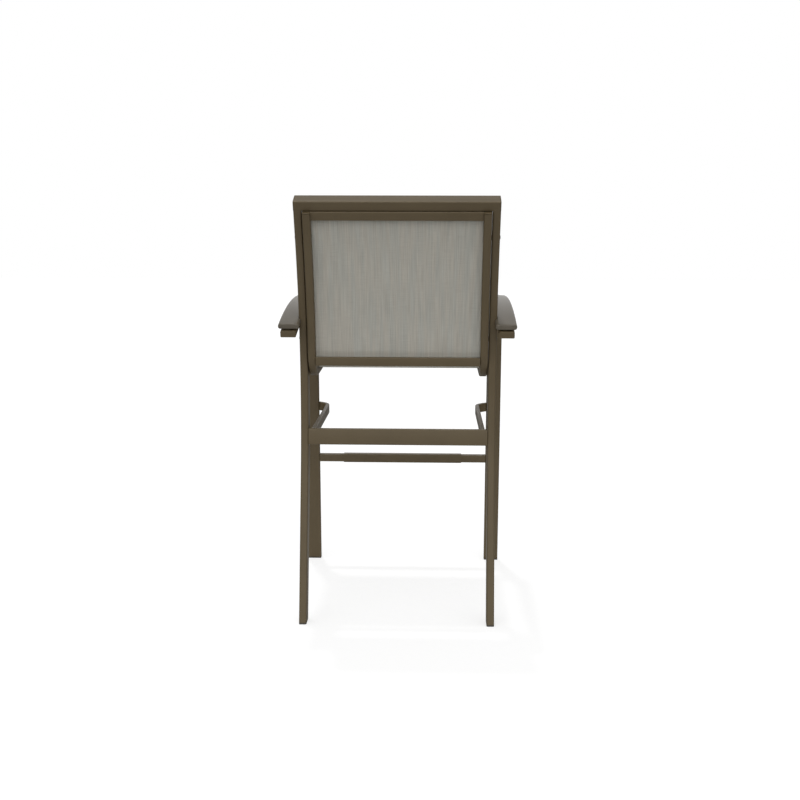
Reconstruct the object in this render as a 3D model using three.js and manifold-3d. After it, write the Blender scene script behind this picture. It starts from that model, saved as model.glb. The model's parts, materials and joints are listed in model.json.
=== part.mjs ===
// Bar-height sling patio chair: a bent tube frame, two J-shaped sling rails with a back cloth and a
// seat cloth, moulded arms on arched supports, and a footrest bar.
// Millimetres, +Z up, the sitter faces -Y and has their left hand at +X.
import * as THREE from 'three';
import { mergeVertices } from 'three/addons/utils/BufferGeometryUtils.js';
import Module from 'manifold-3d';

const wasm = await Module();
wasm.setup();

// Fits shared by the whole chair
const GAP = 0.3;              // running gap between pieces that touch
const OVERRUN = 2;            // how far a cutting tool passes the wall it cuts
const TUBE_WALL = 2;
const SQUARE_CORNER = 3;      // outside corner radius of square and flat bar

// Rear posts: straight leg, one long arc, straight top
const POST_WIDTH = 22.2;
const POST_DEPTH = 50.8;
const POST_CORNER = 4;
const POST_OUTER_SPAN = 571.5;
const LEG_LEAN = THREE.MathUtils.degToRad(11.5);
const BACK_RECLINE = THREE.MathUtils.degToRad(22);
const LEG_STRAIGHT_HEIGHT = 420;
const POST_ARC_RADIUS = 1200;  // on the rear face
const POST_TOP_STRAIGHT = 91.9; // on the rear face, from the arc to the top rail

// Top rail
const TOP_RAIL_HEIGHT = 28.6;
const TOP_RAIL_CORNER = 4;
const PLUG_FACE = 2.5;
const PLUG_REACH = 14;

// Sling rails, placed by the line that the cloth follows
const RAIL_WIDTH = 22.2;
const RAIL_BEHIND = 23;        // metal behind and below the cloth
const RAIL_AHEAD = 13.6;       // metal in front of and above the cloth
const RAIL_CORNER = 4;
const RAIL_PROUD = 12.5;       // how far the rail stands out behind the posts
const RAIL_SPACER = 2.3;       // washer between post and rail
const GROOVE_WIDTH = 3;
const GROOVE_DEPTH = 9;        // from the rail's inner face to the middle of the rod
const ROD_BORE = 3.8;
const ROD_RADIUS = 3.2;
const CAVITY_WALL = 2;
const CAVITY_HALF_GROOVE = 4.9; // metal left round the groove
const SEAT_HEIGHT = 736.5;       // cloth at the rear of the seat
const SEAT_RISE = THREE.MathUtils.degToRad(1.5);
const SEAT_BEND_RADIUS = 70;
const SEAT_CURVE_BEHIND_LEG = 6; // from the leg's middle back to the start of the curve
const SEAT_FRONT_RADIUS = 40;
const SEAT_FRONT_DROP = THREE.MathUtils.degToRad(42);
const SEAT_FRONT_STRAIGHT = 6;
const RAIL_TOP_CLEARANCE = 0.8;
const CAP_THICKNESS = 3;
const CAP_PEG = 7;

// Cloth and spreaders
const CLOTH_THICKNESS = 1.4;
const CLOTH_EDGE_GAP = 0.4;
const BACK_CLOTH_INTO_BEND = 33; // past the start of the rails' bend
const SEAT_CLOTH_PAST_BEND = 10; // from the end of the bend to the seat cloth's rear edge
const BACK_SAG = 1.2;
const SEAT_SAG = 6;
const SPREADER_HEIGHT = 25.4;
const SPREADER_DEPTH = 11;
const SPREADER_CORNER = 3;
const SPREADER_BEHIND_CLOTH = 10.5;
const TENON_REACH = 9;         // past the rail's inner face
const TENON_SHOULDER = 4.5;
const TENON_THICKNESS = 8;
const BACK_SPREADER_ABOVE_SEAT = 29.5;
const SEAT_SPREADER_SETBACK = 92;

// Front legs and what they carry
const FRONT_LEG_WIDTH = 47.6;
const FRONT_LEG_DEPTH = 22.2;
const FRONT_LEG_SETBACK = 652;  // rear foot to front leg, rear faces, on the floor
const FRONT_LEG_LEAN = THREE.MathUtils.degToRad(2.7); // rearwards, going up
const SUPPORT_SPACER = 2.8;     // post to arm support
const CROSSBAR_SIZE = 25.4;
const FOOTREST_SIZE = 25.4;
const FOOTREST_HEIGHT = 363.7;
const SLEEVE_WALL = 1.7;
const SLEEVE_LENGTH = 404;
const SADDLE_WIDTH = 18;
const SADDLE_LENGTH = 16;
const SADDLE_HEIGHT = 15;      // from crossbar to rail, at the leg's middle

// Stretcher and side bars
const STRETCHER_HEIGHT = 47.6;
const STRETCHER_DEPTH = 22.2;
const STRETCHER_MID_HEIGHT = 541.5;
const SIDE_BAR_HEIGHT = 29;
const SIDE_BAR_THICKNESS = 12;
const SIDE_BAR_MID_HEIGHT = 545;
const SIDE_BAR_INSET = 18;      // from the inner face of the post to the bar's inner face
const SIDE_BAR_BEND = 63;       // the bend runs on until the bar meets the leg

// Arms and their supports lie on arcs round one centre
const ARM_RADIUS = 1590;      // underside of the arm
const ARM_THICKNESS = 15;
const ARM_CROWN = 1.5;
const ARM_TOP_HEIGHT = 933.5;     // highest point of the arm, without its crown
const ARM_PEAK_SETBACK = 449;   // rear foot to that point
const ARM_OVERHANG = 6.6;       // past the outer face of its support
const ARM_WIDTH = 60.6;
const ARM_REAR = 36;            // in front of the rear foot's rear face
const ARM_FRONT = 696;
const ARM_NOSE_LENGTH = 46;
const ARM_TAIL_LENGTH = 9;
const PAD_THICKNESS = 4.8;
const PAD_LENGTH = 34;
const PAD_WIDTH = 34;
const SUPPORT_WIDTH = 44.45;
const SUPPORT_THICKNESS = 19.05;
const SUPPORT_FRONT_OVERLAP = 2;
const NOTCH_CLEARANCE = 1.5;

// Feet
const GLIDE_HEIGHT = 5;
const GLIDE_PLUG = 22;

// Fasteners
const BOLT_RADIUS = 3;
const BOLT_HEAD_RADIUS = 6;
const BOLT_HEAD_HEIGHT = 1.8;
const SCREW_RADIUS = 2.1;
const SCREW_HEAD_RADIUS = 4.2;
const SCREW_HEAD_HEIGHT = 2.4;
const SCREW_INTO_ARM = 10;
const BOLT_PAST_WALL = 4;
const WASHER_RADIUS = 8;
const RAIL_BOLT_ABOVE_BEND = 23.5;
const RAIL_BOLT_BELOW_TOP = 77;

// Shares of a length or a count, not sizes
const armPadShares = { rear: 0.3, front: 0.8 };
const armNoseShares = [[1, 0.34], [0.86, 0.58], [0.62, 0.78], [0.3, 0.93], [0, 1]];
const armTailShares = [[0, 1], [0.45, 0.95], [1, 0.84]];
const armEndThicknessShare = 0.5; // added to the width share of an end ring for its thickness
const CORNER_STEPS = 1;
const EDGE_STEPS = 4;
const BORE_STEPS = 8;
const ROUND_SIDES = 12;
const LONG_ARC_STEPS = 9;
const BEND_STEPS = 8;
const FRONT_STEPS = 4;
const ARM_STEPS = 18;
const CLOTH_COLUMNS = 10;

// Sizes worked out from the ones above
const POST_OUTER = POST_OUTER_SPAN / 2;
const POST_INNER = POST_OUTER - POST_WIDTH;
const RAIL_OUTER = POST_INNER - RAIL_SPACER;
const RAIL_INNER = RAIL_OUTER - RAIL_WIDTH;
const RAIL_MIDDLE = (RAIL_OUTER + RAIL_INNER) / 2;
const SUPPORT_INNER = POST_OUTER + SUPPORT_SPACER;
const SUPPORT_OUTER = SUPPORT_INNER + SUPPORT_WIDTH;
const SUPPORT_MIDDLE = (SUPPORT_INNER + SUPPORT_OUTER) / 2;
const LEG_INNER = SUPPORT_OUTER - FRONT_LEG_WIDTH;
const LEG_MIDDLE = (LEG_INNER + SUPPORT_OUTER) / 2;
const ARM_OUTER = SUPPORT_OUTER + ARM_OVERHANG;
const ARM_INNER = ARM_OUTER - ARM_WIDTH;
const SUPPORT_TOP_RADIUS = ARM_RADIUS - PAD_THICKNESS;
const SUPPORT_BOTTOM_RADIUS = SUPPORT_TOP_RADIUS - SUPPORT_THICKNESS;
const ARM_CENTRE = { y: -ARM_PEAK_SETBACK, z: ARM_TOP_HEIGHT - ARM_RADIUS - ARM_THICKNESS };
const RAIL_END_DROP = RAIL_TOP_CLEARANCE + CAP_THICKNESS + GAP;
const SUPPORT_UNDERSIDE = ARM_TOP_HEIGHT - ARM_THICKNESS - PAD_THICKNESS - SUPPORT_THICKNESS;
const FOOT_Y = -FRONT_LEG_SETBACK - FRONT_LEG_DEPTH / 2;
const CROSSBAR_Y = frontLegAt(SEAT_HEIGHT - RAIL_BEHIND - SADDLE_HEIGHT - CROSSBAR_SIZE / 2);
const armEnds = Object.keys(armPadShares);
const BRONZE = { color: 0x5c5140, roughness: 0.5, metalness: 0.35 };
const RUBBER = { color: 0x2b2823, roughness: 0.8, metalness: 0 };
const STEEL = { color: 0x4a4236, roughness: 0.45, metalness: 0.6 };
const CLOTH = { color: 0x93928b, roughness: 0.85, metalness: 0 };
const POLYMER = { color: 0x6b6354, roughness: 0.42, metalness: 0 };

// Middle of a front leg at a height
function frontLegAt(height) {
  return FOOT_Y + height * Math.tan(FRONT_LEG_LEAN);
}

// A place on a path that lies in the side plane: a point and the direction of travel there
function station(y, z, heading) {
  return {
    point: new THREE.Vector3(0, y, z),
    tangent: new THREE.Vector3(0, Math.sin(heading), Math.cos(heading)),
    heading,
  };
}

// Headings are measured from straight up, positive towards the rear
function goStraight(stations, length) {
  const last = stations.at(-1);
  const y = last.point.y + length * Math.sin(last.heading);
  const z = last.point.z + length * Math.cos(last.heading);
  stations.push(station(y, z, last.heading));
}

function goRound(stations, radius, turn, steps) {
  const start = stations.at(-1);
  const side = Math.sign(turn);
  const centreY = start.point.y + side * radius * Math.cos(start.heading);
  const centreZ = start.point.z - side * radius * Math.sin(start.heading);
  for (let step = 1; step <= steps; step++) {
    const heading = start.heading + (turn * step) / steps;
    const y = centreY - side * radius * Math.cos(heading);
    const z = centreZ + side * radius * Math.sin(heading);
    stations.push(station(y, z, heading));
  }
}

// A curve that an extrusion samples only at the given stations
class StationCurve extends THREE.Curve {
  constructor(stations) {
    super();
    this.stations = stations;
  }

  at(share) {
    return this.stations[Math.round(share * (this.stations.length - 1))];
  }

  getPoint(share, target = new THREE.Vector3()) {
    return target.copy(this.at(share).point);
  }

  getPointAt(share, target = new THREE.Vector3()) {
    return this.getPoint(share, target);
  }

  // Every path lies in the side plane, so the section never twists
  computeFrenetFrames() {
    const tangents = this.stations.map(({ tangent }) => tangent.clone());
    const normals = tangents.map(() => new THREE.Vector3(-1, 0, 0));
    const binormals = tangents.map((tangent, i) => new THREE.Vector3().crossVectors(tangent, normals[i]));
    return { tangents, normals, binormals };
  }
}

// The section's x runs towards -X, its y towards the front of a rising path
function sweep(section, stations) {
  return new THREE.ExtrudeGeometry(section, {
    extrudePath: new StationCurve(stations),
    steps: stations.length - 1,
    curveSegments: CORNER_STEPS,
  });
}

function roundedRectangle(PathType, width, height, radius, centreY = 0) {
  const outline = new PathType();
  const right = width / 2 - radius;
  const top = height / 2 - radius;
  outline.absarc(right, centreY + top, radius, 0, Math.PI / 2);
  outline.absarc(-right, centreY + top, radius, Math.PI / 2, Math.PI);
  outline.absarc(-right, centreY - top, radius, Math.PI, 1.5 * Math.PI);
  outline.absarc(right, centreY - top, radius, 1.5 * Math.PI, 2 * Math.PI);
  outline.closePath();
  return outline;
}

function rectangle(PathType, left, bottom, right, top) {
  const outline = new PathType();
  outline.moveTo(left, bottom);
  outline.lineTo(right, bottom);
  outline.lineTo(right, top);
  outline.lineTo(left, top);
  outline.closePath();
  return outline;
}

function tubeSection(width, height, radius, wall = TUBE_WALL) {
  const section = roundedRectangle(THREE.Shape, width, height, radius);
  const innerX = width / 2 - wall;
  const innerY = height / 2 - wall;
  section.holes.push(rectangle(THREE.Path, -innerX, -innerY, innerX, innerY));
  return section;
}

function solidOf(geometry) {
  const plain = geometry.clone();
  plain.deleteAttribute('normal');
  plain.deleteAttribute('uv');
  const merged = mergeVertices(plain);
  return new wasm.Manifold(new wasm.Mesh({
    numProp: 3,
    vertProperties: new Float32Array(merged.attributes.position.array),
    triVerts: new Uint32Array(merged.index.array),
  }));
}

function geometryOf(solid) {
  const mesh = solid.getMesh();
  const geometry = new THREE.BufferGeometry();
  geometry.setAttribute('position', new THREE.BufferAttribute(new Float32Array(mesh.vertProperties), 3));
  geometry.setIndex(new THREE.BufferAttribute(new Uint32Array(mesh.triVerts), 1));
  const faceted = geometry.toNonIndexed();
  faceted.computeVertexNormals();
  return faceted;
}

function joined(...geometries) {
  return geometryOf(geometries.map(solidOf).reduce((whole, piece) => whole.add(piece)));
}

function cut(geometry, ...tools) {
  return geometryOf(tools.map(solidOf).reduce((whole, tool) => whole.subtract(tool), solidOf(geometry)));
}

// A round bar from one point to another
function roundBar(from, to, radius, sides = ROUND_SIDES) {
  const axis = new THREE.Vector3().subVectors(to, from);
  const bar = new THREE.CylinderGeometry(radius, radius, axis.length(), sides);
  const turn = new THREE.Quaternion().setFromUnitVectors(new THREE.Vector3(0, 1, 0), axis.normalize());
  bar.applyQuaternion(turn);
  bar.translate((from.x + to.x) / 2, (from.y + to.y) / 2, (from.z + to.z) / 2);
  return bar;
}

// A bolt or screw: its head starts at `seat` and its shank runs from there along `direction`
function fastener(seat, direction, length, radius, headRadius, headHeight) {
  const tip = seat.clone().addScaledVector(direction, length);
  const headTop = seat.clone().addScaledVector(direction, -headHeight);
  return joined(roundBar(headTop, seat, headRadius), roundBar(headTop, tip, radius));
}

// A bar across the chair; the section's x is its height and its y is its depth
function barAcross(section, length, y, z, tilt = 0) {
  const bar = new THREE.ExtrudeGeometry(section, {
    depth: length,
    bevelEnabled: false,
    curveSegments: CORNER_STEPS,
  });
  bar.translate(0, 0, -length / 2);
  bar.rotateY(Math.PI / 2);
  bar.rotateX(tilt);
  bar.translate(0, y, z);
  return bar;
}

// Slides the end ring of a swept piece along its own direction until it lies on a height
function endAtHeight(geometry, end, heightAt) {
  const position = geometry.attributes.position;
  for (let i = 0; i < position.count; i++) {
    const point = new THREE.Vector3().fromBufferAttribute(position, i);
    const ahead = point.clone().sub(end.point).dot(end.tangent);
    if (Math.abs(ahead) < GAP / 2) {
      const target = heightAt(point.y);
      point.addScaledVector(end.tangent, (target - point.z) / end.tangent.z);
      position.setXYZ(i, point.x, point.y, point.z);
    }
  }
  return geometry;
}

const model = new THREE.Group();

function add(name, geometry, look = BRONZE) {
  const mesh = new THREE.Mesh(geometry, new THREE.MeshStandardMaterial(look));
  mesh.name = name;
  model.add(mesh);
  return mesh;
}

const sides = [
  { name: 'left', sign: 1 },
  { name: 'right', sign: -1 },
];

// Path of the posts' rear face, from the floor up
function postFacePath(offset) {
  const start = station(-offset * Math.cos(LEG_LEAN), -offset * Math.sin(LEG_LEAN), -LEG_LEAN);
  const stations = [start];
  goStraight(stations, LEG_STRAIGHT_HEIGHT / Math.cos(LEG_LEAN));
  goRound(stations, POST_ARC_RADIUS + offset, LEG_LEAN + BACK_RECLINE, LONG_ARC_STEPS);
  return stations;
}

const legTop = postFacePath(0)[1];
const postCentre = {
  y: legTop.point.y + POST_ARC_RADIUS * Math.cos(LEG_LEAN),
  z: legTop.point.z + POST_ARC_RADIUS * Math.sin(LEG_LEAN),
};

// Where the posts' rear face meets the top rail
const BACK_TOP_HEIGHT = (
  postCentre.z + POST_ARC_RADIUS * Math.sin(BACK_RECLINE) + POST_TOP_STRAIGHT * Math.cos(BACK_RECLINE)
);
const RAIL_BOLT_HEIGHTS = {
  lower: SEAT_HEIGHT + SEAT_BEND_RADIUS + RAIL_BOLT_ABOVE_BEND,
  upper: BACK_TOP_HEIGHT - RAIL_BOLT_BELOW_TOP,
};

// Point of the rear face's path at a height, moved `ahead` towards the front, with its lean
function postAt(height, ahead = 0) {
  const arcTop = postCentre.z + POST_ARC_RADIUS * Math.sin(BACK_RECLINE);
  let lean = Math.asin(THREE.MathUtils.clamp((height - postCentre.z) / POST_ARC_RADIUS, -1, 1));
  let y = postCentre.y - POST_ARC_RADIUS * Math.cos(lean);
  if (height > arcTop) {
    lean = BACK_RECLINE;
    y = postCentre.y - POST_ARC_RADIUS * Math.cos(lean) + (height - arcTop) * Math.tan(lean);
  } else if (height < LEG_STRAIGHT_HEIGHT) {
    lean = -LEG_LEAN;
    y = -height * Math.tan(LEG_LEAN);
  }
  return { y: y - ahead * Math.cos(lean), z: height + ahead * Math.sin(lean), lean };
}

function addPosts() {
  const path = postFacePath(POST_DEPTH / 2);
  const arcTop = path.at(-1);
  const topEnd = postAt(BACK_TOP_HEIGHT, POST_DEPTH / 2);
  const rise = (topEnd.z - arcTop.point.z) / Math.cos(BACK_RECLINE);
  goStraight(path, rise - GAP);
  const tube = sweep(tubeSection(POST_WIDTH, POST_DEPTH, POST_CORNER), path);
  endAtHeight(tube, path[0], () => GLIDE_HEIGHT);
  for (const { name, sign } of sides) {
    const holes = Object.values(RAIL_BOLT_HEIGHTS).map((height) => railBoltHole(sign, height));
    holes.push(supportBoltHole(sign));
    const post = tube.clone().translate(sign * (POST_OUTER - POST_WIDTH / 2), 0, 0);
    add(`rear_post_${name}`, cut(post, ...holes));
  }
}

function addTopRail() {
  const seat = postAt(BACK_TOP_HEIGHT, POST_DEPTH / 2);
  const y = seat.y + (TOP_RAIL_HEIGHT / 2) * Math.sin(BACK_RECLINE);
  const z = seat.z + (TOP_RAIL_HEIGHT / 2) * Math.cos(BACK_RECLINE);
  const section = tubeSection(TOP_RAIL_HEIGHT, POST_DEPTH, TOP_RAIL_CORNER);
  add('top_rail', barAcross(section, POST_OUTER_SPAN - 2 * PLUG_FACE, y, z, -BACK_RECLINE));
  const face = roundedRectangle(THREE.Shape, TOP_RAIL_HEIGHT, POST_DEPTH, TOP_RAIL_CORNER);
  const innerHeight = TOP_RAIL_HEIGHT - 2 * (TUBE_WALL + GAP);
  const innerDepth = POST_DEPTH - 2 * (TUBE_WALL + GAP);
  const tongue = roundedRectangle(THREE.Shape, innerHeight, innerDepth, GAP);
  for (const { name, sign } of sides) {
    const plate = barAcross(face, PLUG_FACE - GAP, y, z, -BACK_RECLINE);
    plate.translate(sign * (POST_OUTER - (PLUG_FACE - GAP) / 2), 0, 0);
    const plug = barAcross(tongue, PLUG_REACH, y, z, -BACK_RECLINE);
    plug.translate(sign * (POST_OUTER - PLUG_FACE - PLUG_REACH / 2 + GAP * 2), 0, 0);
    add(`top_rail_plug_${name}`, joined(plate, plug));
  }
}

// Sling rails and what they hold

// The line of the cloth from under the top rail to the seat's front, starting `drop` lower than there
function clothPath(drop = RAIL_TOP_CLEARANCE) {
  const ahead = RAIL_BEHIND - RAIL_PROUD;
  const arcRadius = POST_ARC_RADIUS + ahead;
  const bendHeight = SEAT_HEIGHT + SEAT_BEND_RADIUS * Math.cos(SEAT_RISE);
  const bendLean = Math.asin((bendHeight - postCentre.z) / (arcRadius + SEAT_BEND_RADIUS));
  const top = postAt(BACK_TOP_HEIGHT, ahead);
  const down = Math.PI + BACK_RECLINE;
  const startY = top.y - drop * Math.sin(BACK_RECLINE);
  const startZ = top.z - drop * Math.cos(BACK_RECLINE);
  const stations = [station(startY, startZ, down)];
  const arcTopZ = postCentre.z + arcRadius * Math.sin(BACK_RECLINE);
  goStraight(stations, (startZ - arcTopZ) / Math.cos(BACK_RECLINE));
  goRound(stations, arcRadius, bendLean - BACK_RECLINE, Math.ceil(LONG_ARC_STEPS / 2));
  goRound(stations, SEAT_BEND_RADIUS, Math.PI / 2 - bendLean + SEAT_RISE, BEND_STEPS);
  goStraight(stations, seatRun(stations.at(-1).point.y));
  goRound(stations, SEAT_FRONT_RADIUS, -SEAT_FRONT_DROP, FRONT_STEPS);
  goStraight(stations, SEAT_FRONT_STRAIGHT);
  return stations;
}

// Length of the straight seat, from the end of its bend to its front curve
function seatRun(from) {
  return (from - CROSSBAR_Y - SEAT_CURVE_BEHIND_LEG) / Math.cos(SEAT_RISE);
}

// Walks a path and returns the place at a length from its start
function alongPath(stations, length) {
  let left = length;
  for (let i = 1; i < stations.length; i++) {
    const from = stations[i - 1];
    const to = stations[i];
    const step = from.point.distanceTo(to.point);
    if (left <= step || i === stations.length - 1) {
      const share = left / step;
      const y = THREE.MathUtils.lerp(from.point.y, to.point.y, share);
      const z = THREE.MathUtils.lerp(from.point.z, to.point.z, share);
      return station(y, z, THREE.MathUtils.lerp(from.heading, to.heading, share));
    }
    left -= step;
  }
  return stations.at(-1);
}

function pathLength(stations) {
  let length = 0;
  for (let i = 1; i < stations.length; i++) {
    length += stations[i].point.distanceTo(stations[i - 1].point);
  }
  return length;
}

// Outward from the cloth line is +y of the section, because the path runs downwards and forwards
function railSection() {
  const half = RAIL_WIDTH / 2;
  const middleY = (RAIL_BEHIND - RAIL_AHEAD) / 2;
  const tall = RAIL_BEHIND + RAIL_AHEAD;
  const right = half - RAIL_CORNER;
  const top = tall / 2 - RAIL_CORNER;
  const mouth = GROOVE_WIDTH / 2;
  const mouthAngle = Math.asin(mouth / ROD_BORE);
  const boreX = half - GROOVE_DEPTH;
  const outline = new THREE.Shape();
  outline.moveTo(half, mouth);
  outline.lineTo(half, middleY + top);
  outline.absarc(right, middleY + top, RAIL_CORNER, 0, Math.PI / 2);
  outline.absarc(-right, middleY + top, RAIL_CORNER, Math.PI / 2, Math.PI);
  outline.absarc(-right, middleY - top, RAIL_CORNER, Math.PI, 1.5 * Math.PI);
  outline.absarc(right, middleY - top, RAIL_CORNER, 1.5 * Math.PI, 2 * Math.PI);
  outline.lineTo(half, -mouth);
  for (let step = 0; step <= BORE_STEPS; step++) {
    const angle = -mouthAngle - ((2 * Math.PI - 2 * mouthAngle) * step) / BORE_STEPS;
    outline.lineTo(boreX + ROD_BORE * Math.cos(angle), ROD_BORE * Math.sin(angle));
  }
  outline.closePath();
  const wideX = half - CAVITY_WALL;
  const behind = rectangle(THREE.Path, -wideX, CAVITY_HALF_GROOVE, wideX, RAIL_BEHIND - CAVITY_WALL);
  const narrowX = wideX - GAP;
  const ahead = rectangle(THREE.Path, -narrowX, -RAIL_AHEAD + CAVITY_WALL, narrowX, -CAVITY_HALF_GROOVE);
  outline.holes.push(behind, ahead);
  return outline;
}

function mirrored(geometry) {
  const flipped = geometry.index ? geometry.toNonIndexed() : geometry.clone();
  const position = flipped.attributes.position;
  for (let i = 0; i < position.count; i += 3) {
    const corners = [0, 1, 2].map((k) => new THREE.Vector3().fromBufferAttribute(position, i + k));
    corners.forEach((corner) => corner.setX(-corner.x));
    position.setXYZ(i, corners[0].x, corners[0].y, corners[0].z);
    position.setXYZ(i + 1, corners[2].x, corners[2].y, corners[2].z);
    position.setXYZ(i + 2, corners[1].x, corners[1].y, corners[1].z);
  }
  flipped.computeVertexNormals();
  return flipped;
}

// Bolts from the outer side of the post, through the washer, into the front cavity of the sling rail
function railBoltPlace(height) {
  const cavityMiddle = (RAIL_AHEAD + CAVITY_HALF_GROOVE - CAVITY_WALL) / 2;
  return postAt(height, RAIL_BEHIND - RAIL_PROUD + cavityMiddle);
}

function railBoltHole(sign, height) {
  const place = railBoltPlace(height);
  const from = new THREE.Vector3(sign * (POST_OUTER + OVERRUN), place.y, place.z);
  const to = new THREE.Vector3(sign * (RAIL_OUTER - CAVITY_WALL - BOLT_PAST_WALL - GAP), place.y, place.z);
  return roundBar(from, to, BOLT_RADIUS + GAP);
}

function spreaderPlaces() {
  const path = clothPath();
  const middle = SPREADER_BEHIND_CLOTH + SPREADER_DEPTH / 2;
  const length = pathLength(path);
  const topPlace = alongPath(path, SPREADER_HEIGHT / 2);
  const low = postAt(SEAT_HEIGHT + BACK_SPREADER_ABOVE_SEAT, RAIL_BEHIND - RAIL_PROUD - middle);
  const frontPlace = alongPath(path, length - SEAT_SPREADER_SETBACK);
  const offset = (place) => ({
    y: place.point.y - middle * Math.cos(place.heading),
    z: place.point.z + middle * Math.sin(place.heading),
    tilt: -place.heading,
  });
  return {
    back_top_spreader: offset(topPlace),
    back_bottom_spreader: { y: low.y, z: low.z, tilt: -low.lean },
    seat_spreader: offset(frontPlace),
  };
}

// The ends of a spreader are tenons that pass the rail's inner wall into its rear cavity
function tenonBar(place, reach, clearance) {
  const halfHeight = SPREADER_HEIGHT / 2 - TENON_SHOULDER + clearance;
  const halfDepth = TENON_THICKNESS / 2 + clearance;
  const section = rectangle(THREE.Shape, -halfHeight, -halfDepth, halfHeight, halfDepth);
  return barAcross(section, 2 * (RAIL_INNER + reach), place.y, place.z, place.tilt);
}

function crossbarHeight() {
  return railUndersideAt(CROSSBAR_Y) - SADDLE_HEIGHT - CROSSBAR_SIZE / 2;
}

function seatBoltTip() {
  return railUndersideAt(CROSSBAR_Y) + CAVITY_WALL + BOLT_PAST_WALL;
}

function seatBoltHole(sign) {
  const from = new THREE.Vector3(sign * RAIL_MIDDLE, CROSSBAR_Y, crossbarHeight() - CROSSBAR_SIZE);
  const to = from.clone().setZ(seatBoltTip() + GAP);
  return roundBar(from, to, BOLT_RADIUS + GAP);
}

function addSlingRails() {
  const path = clothPath(RAIL_END_DROP);
  const left = sweep(railSection(), path).translate(RAIL_MIDDLE, 0, 0);
  const rails = { left, right: mirrored(left) };
  const places = Object.values(spreaderPlaces());
  for (const { name, sign } of sides) {
    const holes = Object.values(RAIL_BOLT_HEIGHTS).map((height) => railBoltHole(sign, height));
    holes.push(...places.map((place) => tenonBar(place, TENON_REACH + GAP, GAP)));
    holes.push(seatBoltHole(sign));
    add(`sling_rail_${name}`, cut(rails[name], ...holes));
  }
}

// A cap's peg fits the rail's front cavity, so the rear one stays free for a spreader's tenon
function capSolid(end, sign, direction) {
  const place = (length) => {
    const run = direction * length;
    const y = end.point.y + run * Math.sin(end.heading);
    return station(y, end.point.z + run * Math.cos(end.heading), end.heading);
  };
  const between = (from, to) => (direction > 0 ? [place(from), place(to)] : [place(to), place(from)]);
  const tall = RAIL_BEHIND + RAIL_AHEAD;
  const face = roundedRectangle(THREE.Shape, RAIL_WIDTH, tall, RAIL_CORNER, (RAIL_BEHIND - RAIL_AHEAD) / 2);
  const pegX = RAIL_WIDTH / 2 - CAVITY_WALL - 2 * GAP;
  const low = -RAIL_AHEAD + CAVITY_WALL + GAP;
  const peg = rectangle(THREE.Shape, -pegX, low, pegX, -CAVITY_HALF_GROOVE - GAP);
  const plate = sweep(face, between(GAP, GAP + CAP_THICKNESS));
  return joined(plate, sweep(peg, between(-CAP_PEG, 2 * GAP))).translate(sign * RAIL_MIDDLE, 0, 0);
}

function addRailCaps() {
  const path = clothPath(RAIL_END_DROP);
  for (const { name, sign } of sides) {
    add(`rail_cap_top_${name}`, capSolid(path[0], sign, -1));
    add(`rail_cap_front_${name}`, capSolid(path.at(-1), sign, 1));
  }
}

function addSplines() {
  const path = clothPath(RAIL_END_DROP);
  const round = new THREE.Shape();
  round.absarc(0, 0, ROD_RADIUS, 0, 2 * Math.PI);
  const rod = new THREE.ExtrudeGeometry(round, {
    extrudePath: new StationCurve(path),
    steps: path.length - 1,
    curveSegments: EDGE_STEPS,
  });
  const rodX = RAIL_INNER + GROOVE_DEPTH;
  for (const { name, sign } of sides) {
    add(`sling_spline_${name}`, rod.clone().translate(sign * rodX, 0, 0), POLYMER);
  }
}

function addSpreaders() {
  const section = roundedRectangle(THREE.Shape, SPREADER_HEIGHT, SPREADER_DEPTH, SPREADER_CORNER);
  const length = 2 * (RAIL_INNER - GAP);
  for (const [name, place] of Object.entries(spreaderPlaces())) {
    const bar = barAcross(section, length, place.y, place.z, place.tilt);
    add(name, joined(bar, tenonBar(place, TENON_REACH, 0)));
  }
}

// The back and the seat are two cloths, open to each other round the rails' bend
function addCloths() {
  const path = clothPath(RAIL_END_DROP);
  const walked = path.map((_, i) => pathLength(path.slice(0, i + 1)));
  const curveStart = walked.at(-FRONT_STEPS - 2);
  const bendEnd = walked.at(-FRONT_STEPS - 3);
  const bendStart = walked.at(-FRONT_STEPS - 3 - BEND_STEPS);
  const backEnd = bendStart + BACK_CLOTH_INTO_BEND;
  const seatStart = bendEnd + SEAT_CLOTH_PAST_BEND;
  add('sling_back', cloth(path, walked, 0, backEnd, backEnd, BACK_SAG), CLOTH);
  add('sling_seat', cloth(path, walked, seatStart, walked.at(-1), curveStart, SEAT_SAG), CLOTH);
}

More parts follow.
